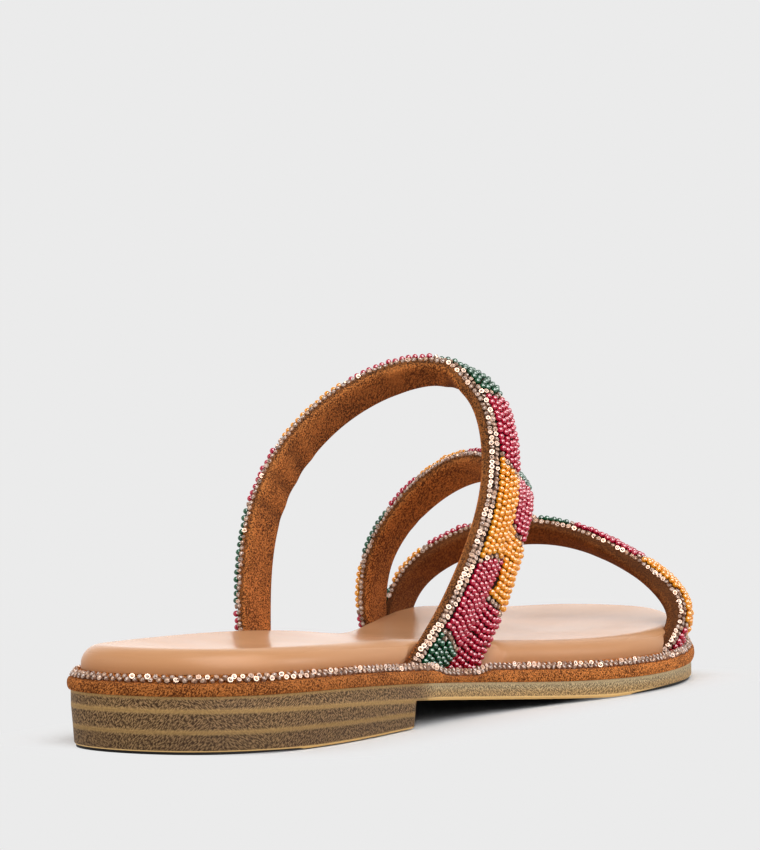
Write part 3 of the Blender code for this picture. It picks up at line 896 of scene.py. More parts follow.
def board_material(colors):
    """Stacked board of the sole: short slanted strokes, tan lines where layers meet."""
    material, tree, shader = new_material("stacked_board")
    surface = add_node(tree, "ShaderNodeUVMap", uv_map="surface").outputs["UV"]
    both = []
    for turn in (0.75, -0.7):
        slanted = add_node(tree, "ShaderNodeMapping", {
            "Vector": surface, "Rotation": (0.0, 0.0, turn), "Scale": (2.4, 0.67, 1.0)},
            vector_type="TEXTURE")
        both.append(noise(tree, slanted.outputs["Vector"], 2900.0, 1.0, 0.5))
    swap_at = remap(tree, noise(tree, surface, 60.0, 1.0), 0.49, 0.51)
    turned = times(tree, math(tree, "SUBTRACT", both[1], both[0]), swap_at)
    strokes = plus(tree, both[0], turned)
    fine = noise(tree, object_place(tree), 2600.0, 2.0, 0.6)
    mask = times(tree, remap(tree, strokes, 0.41, 0.55), 0.92)
    tone = use_group(tree, mottle_group(), Vector=object_place(tree), Scale=60.0)["Tone"]
    base = mix_color(tree, times(tree, tone, 0.25), colors.sole, colors.sole_line)
    base = mix_color(tree, times(tree, attribute(tree, "fore"), 0.5), base, colors.sole_foot)
    line = remap(tree, plus(tree, attribute(tree, "from_edge"), times(tree, fine, 0.5)),
                 0.55, 1.15, 1.0, 0.0)
    quiet = times(tree, mask, math(tree, "SUBTRACT", 1.0, times(tree, line, 0.7)))
    color = mix_color(tree, times(tree, line, 0.75), base, colors.sole_line)
    cream = times(tree, attribute(tree, "head_edge"), 0.6)
    color = mix_color(tree, cream, color, colors.sole_head)
    quiet = times(tree, quiet, remap(tree, attribute(tree, "fore"), 0.0, 1.0, 1.0, 0.82))
    color = mix_color(tree, quiet, color, colors.sole_stroke)
    color = mix_color(tree, attribute(tree, "deep"), color, colors.sole_stroke)
    foot = times(tree, remap(tree, attribute(tree, "foot_edge"), 0.35, 0.75), 0.85)
    color = mix_color(tree, foot, color, colors.sole_foot)
    # Painted contact shadow: the dark strip at the foot of the board takes the tread's colour where it is
    # thick.
    color = mix_color(tree, remap(tree, attribute(tree, "tread_edge"), 0.5, 0.75), color, colors.tread)
    rough = remap(tree, fine, 0.2, 0.8, 0.5, 0.68)
    finish(tree, shader, color, rough, strokes, distance=0.00008, strength=0.5, Specular_IOR_Level=0.08)
    return material


def tread_material(colors):
    """Dark rubber with fine ribs, on the underside."""
    material, tree, shader = new_material("tread_rubber")
    place = object_place(tree)
    ribs = add_node(tree, "ShaderNodeTexWave", {"Vector": place, "Scale": 130.0, "Distortion": 0.4},
                    wave_profile="TRI").outputs["Fac"]
    wear = noise(tree, place, 160.0, 4.0, 0.6)
    color = mix_color(tree, times(tree, wear, 0.3), colors.tread, colors.sole_stroke)
    rough = remap(tree, wear, 0.2, 0.8, 0.5, 0.75)
    finish(tree, shader, color, rough, ribs, distance=0.0004, strength=0.7)
    return material


GLASS_COAT = {"red": 0.4, "yellow": 0.35, "green": 0.4}    # shine of each glass


def glass_material(name, color, pale, coat):
    """Glass bead with a slow change of tone from bead to bead."""
    material, tree, shader = new_material(name)
    tone = attribute(tree, "tone")
    swirl = noise(tree, object_place(tree), 700.0, 2.0)
    lighter = times(tree, plus(tree, tone, swirl), 0.2)
    shade = mix_color(tree, lighter, color, pale)
    rough = remap(tree, tone, 0.0, 1.0, 0.06, 0.11)
    finish(tree, shader, shade, rough, Coat_Weight=coat, Coat_Roughness=0.04, Specular_IOR_Level=0.55)
    return material


def stone_material(colors):
    """Faceted crystal: each facet has its own tone, painted from dark to bright to stand for the reflections
    in a cut stone.
    """
    material, tree, shader = new_material("faceted_crystal")
    facet = attribute(tree, "facet")
    tint = noise(tree, object_place(tree), 900.0, 1.0)
    tone = attribute(tree, "tone")
    clear = mix_color(tree, remap(tree, tone, 0.45, 0.8), colors.stone, colors.stone_warm)
    # Painted reflections: dark and bright facets at random.
    bright = plus(tree, times(tree, facet, 0.7), times(tree, tone, 0.3))
    color = mix_color(tree, remap(tree, bright, 0.16, 0.58), colors.stone_dark, clear)
    rough = remap(tree, tint, 0.2, 0.8, 0.1, 0.2)
    finish(tree, shader, color, rough, Coat_Weight=0.05, Coat_Roughness=0.05, Specular_IOR_Level=0.3)
    return material


def cup_material(colors):
    """Bright metal of the crystals' cups, a little scuffed."""
    material, tree, shader = new_material("cup_metal")
    wear = noise(tree, object_place(tree), 1500.0, 3.0, 0.6)
    color = mix_color(tree, times(tree, wear, 0.6), colors.cup, colors.stone_dark)
    finish(tree, shader, color, remap(tree, wear, 0.2, 0.8, 0.2, 0.38), Metallic=0.3)
    return material


def made_once(name, build, *given):
    """A material by its name, built the first time it is asked for."""
    return bpy.data.materials.get(name) or build(*given)


def named_value(tree, name, kind):
    """A stored value of the points that shapes are set on."""
    made = add_node(tree, "GeometryNodeInputNamedAttribute", {"Name": name}, data_type=kind)
    return enabled(made.outputs, "Attribute")


# Small shapes, in shares of their radius or depth, and their sides
STONE_TABLE = 0.28
STONE_DEPTH = 0.55
STONE_SIDES = 8
STRAP_SHOWN = 0.85      # stone inside its cup, on the straps and on the trim
TRIM_SHOWN = 0.9
CUP_FOOT = 0.8
CUP_DEPTH = 1.3
CUP_DROP = -0.82
ROUND_SIDES = 10
BEAD_RINGS = 6


def bead_shape(tree, given):
    """A small round bead."""
    ball = add_node(tree, "GeometryNodeMeshUVSphere", {
        "Segments": given["Sides"], "Rings": BEAD_RINGS, "Radius": given["Radius"]})
    smooth = add_node(tree, "GeometryNodeSetShadeSmooth", {"Geometry": ball.outputs["Mesh"]})
    return smooth.outputs["Geometry"]


def stone_shape(tree, given):
    """A cut stone: a crown of facets round a flat table."""
    crown = add_node(tree, "GeometryNodeMeshCone", {
        "Vertices": given["Sides"], "Radius Bottom": given["Radius"],
        "Radius Top": times(tree, given["Radius"], STONE_TABLE), "Depth": given["Depth"]})
    flat = add_node(tree, "GeometryNodeSetShadeSmooth", {
        "Geometry": crown.outputs["Mesh"], "Shade Smooth": False})
    return flat.outputs["Geometry"]


def cup_shape(tree, given):
    """A round cup under a stone."""
    cup = add_node(tree, "GeometryNodeMeshCone", {
        "Vertices": given["Sides"], "Radius Top": given["Radius"],
        "Radius Bottom": times(tree, given["Radius"], CUP_FOOT), "Depth": given["Depth"]})
    lowered = add_node(tree, "GeometryNodeTransform", {"Geometry": cup.outputs["Mesh"]})
    drop = add_node(tree, "ShaderNodeCombineXYZ", {"Z": times(tree, given["Depth"], CUP_DROP)})
    tree.links.new(drop.outputs["Vector"], lowered.inputs["Translation"])
    return lowered.outputs["Geometry"]


def setting_tree(name, shape):
    """A node tree that sets one small shape on every point, turned to the point's own directions."""
    tree = bpy.data.node_groups.new(name, "GeometryNodeTree")
    tree.is_modifier = True
    for label, kind in (("Geometry", "Geometry"), ("Radius", "Float"), ("Depth", "Float"),
                        ("Sides", "Int"), ("Seed", "Int"), ("Material", "Material")):
        tree.interface.new_socket(label, in_out="INPUT", socket_type=f"NodeSocket{kind}")
    tree.interface.new_socket("Geometry", in_out="OUTPUT", socket_type="NodeSocketGeometry")
    given = tree.nodes.new("NodeGroupInput").outputs
    put = tree.nodes.new("NodeGroupOutput")
    facing = add_node(tree, "FunctionNodeAlignRotationToVector", {
        "Vector": named_value(tree, "out", "FLOAT_VECTOR")}, axis="Z")
    turned = add_node(tree, "FunctionNodeAlignRotationToVector", {
        "Rotation": facing.outputs[0], "Vector": named_value(tree, "along", "FLOAT_VECTOR")},
        axis="X", pivot_axis="Z")
    placed = add_node(tree, "GeometryNodeInstanceOnPoints", {
        "Points": given["Geometry"], "Instance": shape(tree, given), "Rotation": turned.outputs[0],
        "Scale": named_value(tree, "size", "FLOAT")})
    real = add_node(tree, "GeometryNodeRealizeInstances", {"Geometry": placed.outputs["Instances"]})
    chance = add_node(tree, "FunctionNodeRandomValue", {"Seed": given["Seed"]}, data_type="FLOAT")
    stored = add_node(tree, "GeometryNodeStoreNamedAttribute", {
        "Geometry": real.outputs["Geometry"], "Name": "facet"}, data_type="FLOAT", domain="FACE")
    feed(tree, enabled(stored.inputs, "Value"), enabled(chance.outputs, "Value"))
    made = add_node(tree, "GeometryNodeSetMaterial", {
        "Geometry": stored.outputs["Geometry"], "Material": given["Material"]})
    tree.links.new(made.outputs["Geometry"], put.inputs["Geometry"])
    return tree


def set_shapes(name, tree, spots, material, radius, depth, around):
    """A piece with one shape of the tree at every spot, as plain mesh."""
    mesh = bpy.data.meshes.new(f"{name}_points")
    mesh.from_pydata([tuple(point) for point in (spots["place"] - CENTRE) * MM], [], [])
    for label, kind, field in (("out", "FLOAT_VECTOR", "vector"), ("along", "FLOAT_VECTOR", "vector"),
                               ("size", "FLOAT", "value"), ("tone", "FLOAT", "value")):
        stored = mesh.attributes.new(label, kind, "POINT")
        stored.data.foreach_set(field, np.asarray(spots[label], float).ravel())
    source = add_object(f"{name}_source", mesh)
    modifier = source.modifiers.new("set_shapes", "NODES")
    modifier.node_group = tree
    values = {"Radius": radius, "Depth": depth, "Sides": around, "Seed": SEED, "Material": material}
    for socket in tree.interface.items_tree:
        if socket.in_out == "INPUT" and socket.name in values:
            modifier[socket.identifier] = values[socket.name]
    seen = source.evaluated_get(bpy.context.evaluated_depsgraph_get())
    plain = bpy.data.meshes.new_from_object(seen)
    plain.name = name
    bpy.data.objects.remove(source, do_unlink=True)
    return add_object(name, plain)


def tree_once(name, shape):
    """A setting tree by its name, built the first time it is asked for."""
    return bpy.data.node_groups.get(name) or setting_tree(name, shape)


def set_crystals(place, spots, radius, shown_part, colors, *nodes):
    """Crystals and their cups at every spot, as two pieces."""
    stone = made_once("faceted_crystal", stone_material, colors)
    metal = made_once("cup_metal", cup_material, colors)
    stones = set_shapes(f"{place}_stones", tree_once("Set Stones", stone_shape), spots, stone,
                        radius * shown_part, radius * STONE_DEPTH, STONE_SIDES)
    cups = set_shapes(f"{place}_cups", tree_once("Set Cups", cup_shape), spots, metal,
                      radius, radius * CUP_DEPTH, ROUND_SIDES)
    dress(stones, "crystal", *nodes)
    dress(cups, "crystal", *nodes)


# Chance in the setting of a bead or crystal: moves, lean of its face, turn in radians and size
PLACE_SCATTER = 0.08
FACE_SCATTER = 0.26
TRIM_SCATTER = 0.24
TURN_SCATTER = 0.8
BEAD_SIZES = (0.94, 1.05)
EDGE_SIZES = (0.84, 1.06)
TRIM_SIZES = (0.84, 1.1)


def gather(parts):
    """Several tables of spots as one."""
    return {key: np.concatenate([part[key] for part in parts]) for key in parts[0]}


def chosen(spots, keep):
    """The spots of a table that are kept."""
    return {key: values[keep] for key, values in spots.items()}


def strap_spots(band, at, across, out, tilt, size, chance):
    """Spots on a strap at table positions, turned towards its edge by tilt degrees."""
    half = np.broadcast_to(np.asarray(across, float), len(at))
    raise_by = np.broadcast_to(np.asarray(out, float), len(at))
    sideways = band.read(band.across, at)
    outward = band.read(band.out, at)
    along = band.read(band.along, at)
    lean = np.radians(np.broadcast_to(np.asarray(tilt, float), len(at)))[:, None]
    face = outward * np.cos(lean) + sideways * np.sin(lean)
    place = band.read(band.middle, at) + sideways * half[:, None] + outward * raise_by[:, None]
    place = place + chance.normal(0.0, PLACE_SCATTER, place.shape)
    face = face + chance.normal(0.0, FACE_SCATTER, face.shape)
    turn = chance.uniform(0.0, TURN_SCATTER, len(at))
    return {
        "place": place,
        "out": face,
        "along": along * np.cos(turn)[:, None] + sideways * np.sin(turn)[:, None],
        "size": size * chance.uniform(*BEAD_SIZES, len(at)),
        "tone": chance.uniform(0.0, 1.0, len(at)),
        "share": band.read(band.share, at),
        "s": band.read(band.s, at),
        "across": half.copy(),
    }


# Room that is kept free of beads along a strap's edges, and half the width of a row between two colours
DOUBLE_ROOM = 3.2
SINGLE_ROOM = 1.5
FORK_ROOM = -0.9
BORDER = 0.91
HALF_COLUMNS = 4
BEAD_TILT = 3.0             # degrees a bead leans out for each millimetre from the middle
# A spot is covered this far past the upper strap's edge and this far in and out of it
COVER_EDGE = 0.3
COVER_OUT = (-6.0, 5.0)


def outside_upper(name, spots):
    """Which spots of a strap are not covered by the strap that lies over it."""
    if name not in TUCKED_UNDER:
        return np.ones(len(spots["place"]), bool)
    over = strap(TUCKED_UNDER[name])
    across, out, near = over.beside(spots["place"])
    covered = (np.abs(across) < over.half[near] + COVER_EDGE) & (out > COVER_OUT[0]) & (out < COVER_OUT[1])
    return ~covered


def blocks_of(name, spots):
    """Colour of each spot of a bead field, and whether it lies on a border between two colours."""
    band = strap(name)
    colors = np.full(len(spots["s"]), BLOCKS[name][-1].color, dtype=object)
    border = np.zeros(len(spots["s"]), bool)
    for row in reversed(BLOCKS[name][:-1]):
        end = band.distance(row.end) + row.slant * spots["across"]
        colors[spots["s"] < end] = row.color
        border |= np.abs(spots["s"] - end) < BORDER
    return colors, border


def bead_field(name, sizes, chance):
    """Spots of a strap's bead field, in staggered columns."""
    band = strap(name)
    pitch = sizes.column_pitch / MM
    radius = sizes.bead / MM / 2
    limit = DOUBLED.get(name, -1.0)
    parts = []
    for k in range(-HALF_COLUMNS, HALF_COLUMNS):
        across = (k + 0.5) * pitch
        height = wall_height(band, np.full(len(band.s), across), sizes) + radius - BEAD_SINK
        at = band.places(np.full(len(band.s), across), height, sizes.bead_pitch / MM, 0.5 * (k % 2))
        spots = strap_spots(band, at, across, band.read(height, at), across * BEAD_TILT, 1.0, chance)
        half = band.read(band.half, at)
        back = half - np.where(spots["share"] < limit, DOUBLE_ROOM, SINGLE_ROOM)
        front = half - np.where(spots["share"] < FORK.get(name, 0.0), FORK_ROOM, SINGLE_ROOM)
        parts.append(chosen(spots, (across > -back) & (across < front)))
    spots = gather(parts)
    return chosen(spots, outside_upper(name, spots))


# Crystal rows along a strap's edges: distance in from the edge, rise over the wall and tilt to the edge in
# degrees, on the lateral and on the medial half, and the first and last share of the strap
EdgeRow = namedtuple("EdgeRow", "strap side inset rise tilt far_inset far_rise far_tilt start end")
ON_EDGE = (0.02, -0.40, 80.0)
BY_BEADS = (0.45, 0.12, 60.0)
INSTEP_SECOND = (2.10, 0.35, 26.0)
TOE_SECOND = (1.75, 0.25, 30.0)
EDGE_ROWS = [
    EdgeRow("instep", -1, 0.70, 0.30, 58.0, *ON_EDGE, 0.00, 1.00),
    EdgeRow("instep", -1, *INSTEP_SECOND, *INSTEP_SECOND, 0.00, DOUBLED["instep"]),
    EdgeRow("instep", 1, *BY_BEADS, *BY_BEADS, 0.20, 1.00),
    EdgeRow("middle", -1, *ON_EDGE, *ON_EDGE, 0.20, 1.00),
    EdgeRow("middle", 1, *BY_BEADS, *BY_BEADS, 0.00, 1.00),
    EdgeRow("toe", -1, 0.40, 0.10, 62.0, *ON_EDGE, 0.00, 0.89),
    EdgeRow("toe", -1, *TOE_SECOND, *TOE_SECOND, 0.00, DOUBLED["toe"]),
    EdgeRow("toe", 1, *BY_BEADS, *BY_BEADS, 0.00, 1.00),
]
EDGE_CHANGE = (0.36, 0.52)    # shares between which a row goes over to its medial form
SECOND_ROW = 1.0              # a row that lies further in than this is set between the first one's stones


def edge_stones(row, sizes, chance):
    """Spots of one crystal row along a strap's edge."""
    band = strap(row.strap)
    far = smooth_step(band.share, *EDGE_CHANGE)
    across = row.side * (band.half - row.inset - (row.far_inset - row.inset) * far)
    height = wall_height(band, across, sizes) + row.rise + (row.far_rise - row.rise) * far
    at = band.places(across, height, sizes.stone_pitch / MM, 0.5 * (row.inset > SECOND_ROW))
    tilt = row.side * (row.tilt + (row.far_tilt - row.tilt) * band.read(far, at))
    size = chance.uniform(*EDGE_SIZES, len(at))
    spots = strap_spots(band, at, band.read(across, at), band.read(height, at), tilt, size, chance)
    keep = (spots["share"] >= row.start) & (spots["share"] <= row.end)
    return chosen(spots, keep & outside_upper(row.strap, spots))


def strap_layout(sizes):
    """Spots of all beads and crystals on the straps: one table for each kind."""
    chance = np.random.default_rng(SEED)
    found = {kind: [] for kind in (*GLASS_COAT, "stone")}
    for name in STRAPS:
        spots = bead_field(name, sizes, chance)
        colors, border = blocks_of(name, spots)
        for color in GLASS_COAT:
            found[color].append(chosen(spots, (colors == color) & ~border))
        found["stone"].append(chosen(spots, border))
    for row in EDGE_ROWS:
        found["stone"].append(edge_stones(row, sizes, chance))
    return {kind: gather(parts) for kind, parts in found.items()}


def settings(context):
    """Sizes and colours of the scene."""
    return context.scene.sandal_sizes, context.scene.sandal_colors


# Board layers: rows up their side, and the distance from the edge that the chamfer's upper end counts as
LAYER_PARTS = (0.2, 0.35, 0.5, 0.65, 0.8)
CHAMFER_MARK = 0.3
# Shares of the cream band on each row of the outsole, and of the pale line on its first rows
CREAM_PARTS = (0.0, 0.0, 0.0, 0.0, 0.0, 0.2, 0.7, 1.0, 1.0)
PALE_PARTS = (1.0, 1.0, 1.0, 0.45)
LIFT_PALE = 0.7             # pale line at the foot of the lower lift
PALE_START = 12.0           # ahead of the heel's breast, the forefoot's tones begin over this length
BREAST_CHANGE = (-2.0, 4.0)
# Dark strip under the board: a thin tread everywhere, thickened under the heel's back and the ball into a
# painted contact shadow
TREAD_LEAST = 0.03
SHADOW_STRIP_THICK = 0.5
SHADOW_STRIP_SHOWS = (0.05, 0.2)
HEEL_SHADOW_END = (6.0, 34.0)
BALL_SHADOW_START = (160.0, 188.0)
BALL_SHADOW_END = (196.0, 236.0)
LiftRow = namedtuple("LiftRow", "name node inset edge pale deep")
LIFTS = [    # how far each lies in, its chamfer, its pale line and how far its board is darkened
    LiftRow("upper_heel_lift", "heel_lift_upper", SOLE_INSET, JOINT_EDGE, 0.0, 0.10),
    LiftRow("lower_heel_lift", "heel_lift_lower", SOLE_INSET + HEEL_TAPER, LIFT_EDGE, LIFT_PALE, 0.24),
]


def lay_rings(skin, rows):
    """Join rows of points and heights to a wall; returns their rings, and the row's mark for each point."""
    loops = []
    spots = []
    marks = []
    for points, heights, mark in rows:
        loops.append(skin.row(np.column_stack([points, heights])))
        spots.append(ring_spots(points, heights))
        marks.extend(np.broadcast_to(mark, len(points)))
    skin.tube(loops, spots)
    return loops, marks


def board_layer(skin, rows):
    """A board layer with tread below; returns each point's distance from the layer's edge."""
    loops, marks = lay_rings(skin, rows)
    skin.cap(loops[0], finish=1)
    skin.cap(loops[-1])
    return marks


def layer_rows(low, side, head, bottom, top, chamfer, tread):
    """Rows of a board layer from the dark strip under its lower edge, tread that is thickened in places into
    a painted contact shadow, to its upper edge.
    """
    floor = bottom(low[:, 0])
    foot = floor + tread(low[:, 0])
    rows = [(low, floor, 0.0), (low, foot, 0.0), (side, foot + chamfer(side[:, 0]), CHAMFER_MARK)]
    for part in LAYER_PARTS:
        points = side * (1 - part) + head * part
        base = bottom(points[:, 0])
        thick = top(points[:, 0]) - base
        rows.append((points, base + thick * part, thick * min(part, 1 - part)))
    rows.append((head, top(head[:, 0]), 0.0))
    return rows


def no_tread(x):
    """The least thickness of the dark tread under a layer."""
    return np.full(len(x), TREAD_LEAST)


def heel_tread_and_shadow(x):
    """Thickness of the dark strip under the back of the heel: thin tread, thickened there into a painted
    contact shadow.
    """
    return no_tread(x) + SHADOW_STRIP_THICK * (1 - smooth_step(x, *HEEL_SHADOW_END))


def ball_tread_and_shadow(x):
    """Thickness of the dark strip under the ball of the foot: thin tread, thickened there into a painted
    contact shadow.
    """
    ball = smooth_step(x, *BALL_SHADOW_START) * (1 - smooth_step(x, *BALL_SHADOW_END))
    return no_tread(x) + SHADOW_STRIP_THICK * ball


def shown(thick):
    """1 where the dark strip, tread with painted contact shadow, is thick enough to show."""
    return smooth_step(thick, *SHADOW_STRIP_SHOWS)


def outsole_edge(x):
    """Chamfer of the outsole's lower edge: hardly any over the heel."""
    ahead = smooth_step(x, BREAST_X + BREAST_CHANGE[0], BREAST_X + BREAST_CHANGE[1])
    return JOINT_EDGE + (SOLE_EDGE - JOINT_EDGE) * ahead


def outsole_top(x):
    """Upper side of the outsole, a little way into the rand."""
    return layer("sole_top", x) + SOLE_OVERLAP


def lift_joint(x):
    """Height of the joint between the two heel lifts."""
    return sole_bottom(x) * LIFT_SPLIT


def on_ground(x):
    """The ground under the heel."""
    return np.zeros(len(x))


class SANDAL_OT_sole(bpy.types.Operator):
    """Build the outsole and the two heel lifts"""

    bl_idname = "sandal.sole"
    bl_label = "Sole and Heel"

    def execute(self, context):
        _, colors = settings(context)
        board = made_once("stacked_board", board_material, colors)
        tread = made_once("tread_rubber", tread_material, colors)
        side = ring(SOLE_INSET)
        x = side[:, 0]
        low = side + (ring(SOLE_INSET + SOLE_EDGE) - side) * (outsole_edge(x) / SOLE_EDGE)[:, None]
        skin = Skin()
        # The outsole's dark strip is thickened under the ball as a painted contact shadow.
        rows = layer_rows(low, side, side, sole_bottom, outsole_top, outsole_edge, ball_tread_and_shadow)
        marks = board_layer(skin, rows)
        ahead = smooth_step(x, BREAST_X, BREAST_X + PALE_START)
        outsole = skin.piece(
            "tread_outsole", (board, tread), from_edge=marks,
            foot_edge=np.concatenate([ahead * part for part in PALE_PARTS]),
            head_edge=np.concatenate([ahead * part for part in CREAM_PARTS]),
            fore=np.tile(ahead, len(rows)),
            tread_edge=np.tile(shown(ball_tread_and_shadow(x)), 2))
        dress(outsole, "stacked_sole", "outsole")
        # The lower lift's dark strip is thickened under the heel's back as a painted contact shadow.
        forms = ((lift_joint, sole_bottom, no_tread), (on_ground, lift_joint, heel_tread_and_shadow))
        for row, (bottom, top, under) in zip(LIFTS, forms):
            skin = Skin()
            low = ring(row.inset + HEEL_TAPER + row.edge, BREAST_X - row.edge)
            side = ring(row.inset + HEEL_TAPER, BREAST_X)
            edge = np.full(len(side), row.edge)
            rows = layer_rows(low, side, ring(row.inset, BREAST_X), bottom, top, lambda x: edge, under)
            marks = board_layer(skin, rows)
            lift = skin.piece(
                row.name, (board, tread), from_edge=marks,
                foot_edge=[row.pale] * (3 * len(low)),
                deep=[row.deep] * len(marks),
                tread_edge=np.tile(shown(under(low[:, 0])), 2))
            dress(lift, "stacked_sole", row.node)
        return {"FINISHED"}


# Section of the rand from its lower edge to the middle: inset and height; lip rows stand up behind the trim
RandRow = namedtuple("RandRow", "inset height lip")
RAND_ROWS = [
    RandRow(0.75, 0.04, 0.0),
    RandRow(0.30, 0.20, 0.0),
    RandRow(0.05, 0.65, 0.0),
    RandRow(-0.08, 1.40, 0.0),
    RandRow(0.00, 2.20, 0.0),
    RandRow(0.25, 2.72, 0.0),
    RandRow(0.70, 2.98, 0.0),
    RandRow(1.40, 3.05, 0.0),
    RandRow(2.25, 3.05, 0.1),
    RandRow(2.38, 3.05, 0.9),
    RandRow(2.55, 3.05, 1.0),
    RandRow(2.85, 3.05, 1.0),
    RandRow(3.02, 3.05, 0.85),
    RandRow(3.08, 3.00, 0.0),
]
LIP_HEIGHT = 1.8
LIP_END = (1.5, 7.0)        # the lip runs out between these distances from a strap's edge
BULGE_FULL = 2.0            # height up to which the dip's bulge grows
DIP_FOOT = 0.6              # height from which the dip lowers the rand
RAND_SHADE = 0.32            # how dark the painted shade on the rand is at the heel
RAND_SHADE_END = (0.15, 0.6)    # and between which shares of the length that runs out


def strap_cover(points):
    """1 where a strap stands on the rand, fading to 0 beside it."""
    cover = np.zeros(len(points))
    for name in STRAPS:
        band = strap(name)
        for end, side in ((0.0, -1.0), (band.length, 1.0)):
            step = int(np.argmin(np.abs(band.s - end)))
            reach = np.abs(points[:, 0] - band.middle[step, 0])
            near = 1 - smooth_step(reach - band.half[step], *LIP_END)
            cover = np.maximum(cover, np.where(points[:, 1] * side > 0.0, near, 0.0))
    return cover


class SANDAL_OT_rand(bpy.types.Operator):
    """Build the suede rand with the lip behind its trim"""

    bl_idname = "sandal.rand"
    bl_label = "Rand"

    def execute(self, context):
        _, colors = settings(context)
        suede = made_once("brushed_rand", suede_material, "brushed_rand", colors.rand, colors.rand_dark)
        skin = Skin()
        rows = []
        for row in RAND_ROWS:
            points = ring(row.inset)
            dip = trim_dip(points)
            bulge = ring(row.inset - DIP_BULGE * min(row.height, BULGE_FULL) / BULGE_FULL)
            points = points + (bulge - points) * dip[:, None]
            share = np.clip((row.height - DIP_FOOT) / (RAND_HEIGHT - DIP_FOOT), 0.0, 1.0)
            lip = LIP_HEIGHT * row.lip * (1 - strap_cover(points))
            heights = layer("sole_top", points[:, 0]) + row.height - DIP_DEPTH * share * dip + lip
            rows.append((points, heights, 0.0))
        loops, _ = lay_rings(skin, rows)
        skin.cap(loops[0])
        skin.cap(loops[-1])
        # Painted shade on the rand, darkest at the heel under the trim.
        along = (np.array(skin.points)[:, 0] / MM + CENTRE[0]) / LENGTH
        worn = RAND_SHADE * (1 - smooth_step(along, *RAND_SHADE_END))
        dress(skin.piece("suede_rand", (suede,), worn=worn), "rand_suede", "midsole_rand")
        return {"FINISHED"}


class SANDAL_OT_trim(bpy.types.Operator):
    """Set the crystals and their cups round the rand"""

    bl_idname = "sandal.trim"
    bl_label = "Crystal Trim"

    def execute(self, context):
        sizes, colors = settings(context)
        chance = np.random.default_rng(SEED)
        path = ring(TRIM_INSET)
        dip = trim_dip(path)
        path = path + (ring(TRIM_INSET - DIP_BULGE) - path) * dip[:, None]
        heights = seat(path[:, 0]) + TRIM_RISE - DIP_DEPTH * dip
        loop = np.column_stack([path, heights])
        loop = np.vstack([loop, loop[:1]])
        run = run_along(loop)
        count = 2 * round(run[-1] / (sizes.trim_pitch / MM) / 2)
        at = np.arange(count) * run[-1] / count
        place, next_place = (
            np.column_stack([np.interp(spot % run[-1], run, column) for column in loop.T])
            for spot in (at, at + 0.5))
        ahead = unit(next_place - place)
        outward = np.column_stack([ahead[:, 1], -ahead[:, 0], np.zeros(count)])
        up = np.array([0.0, 0.0, 1.0])
        face = outward * np.cos(np.radians(TRIM_TILT)) + up * np.sin(np.radians(TRIM_TILT))
        zigzag = np.where(np.arange(count) % 2, TRIM_ZIGZAG, -TRIM_ZIGZAG)[:, None]
        place = place + zigzag * up * ZIGZAG_UP - zigzag * outward * ZIGZAG_IN
        turn = chance.uniform(0.0, TURN_SCATTER, count)[:, None]
        spots = {
            "place": place,
            "out": face + chance.normal(0.0, TRIM_SCATTER, face.shape),
            "along": ahead * np.cos(turn) + np.cross(face, ahead) * np.sin(turn),
            "size": chance.uniform(*TRIM_SIZES, count),
            "tone": chance.uniform(0.0, 1.0, count),
        }
        set_crystals("trim", spots, sizes.trim_stone / 2, TRIM_SHOWN, colors, "crystal_trim")
        return {"FINISHED"}


# The footbed yields to the lower part of a strap, for points not far from it
POCKET_SEARCH = (26.0, 16.0)    # length of strap looked at, and reach round it
POCKET_SKIP = 16                # steps of the strap between two looks
POCKET_START = 0.5              # past the strap's edge
POCKET_TOP = (14.0, 24.0)       # fades between these distances from the strap's end
POCKET_DEEP = (6.0, 10.0)       # and between these out of the strap
POCKET_GAP = 0.3


def yield_to_straps(points, pocket):
    """Push the footbed's side in where a strap runs down past it."""
    moved = points.copy()
    length, reach = POCKET_SEARCH
    for name in STRAPS:
        band = strap(name)
        base = band.middle[np.abs(band.ending) < length][::POCKET_SKIP, :2]
        gaps = np.linalg.norm(moved[:, None, :2] - base[None], axis=2)
        index = np.flatnonzero(gaps.min(axis=1) < reach)
        across, out, step = band.beside(moved[index])
        half = band.half[step]
        share = 1 - smooth_step(np.abs(across), half + POCKET_START, half + pocket)
        share = share * (1 - smooth_step(np.abs(band.ending[step]), *POCKET_TOP))
        share = share * (1 - smooth_step(out, *POCKET_DEEP))
        push = np.maximum(out + POCKET_GAP, 0.0) * share
        moved[index] -= band.out[step] * push[:, None]
    return moved


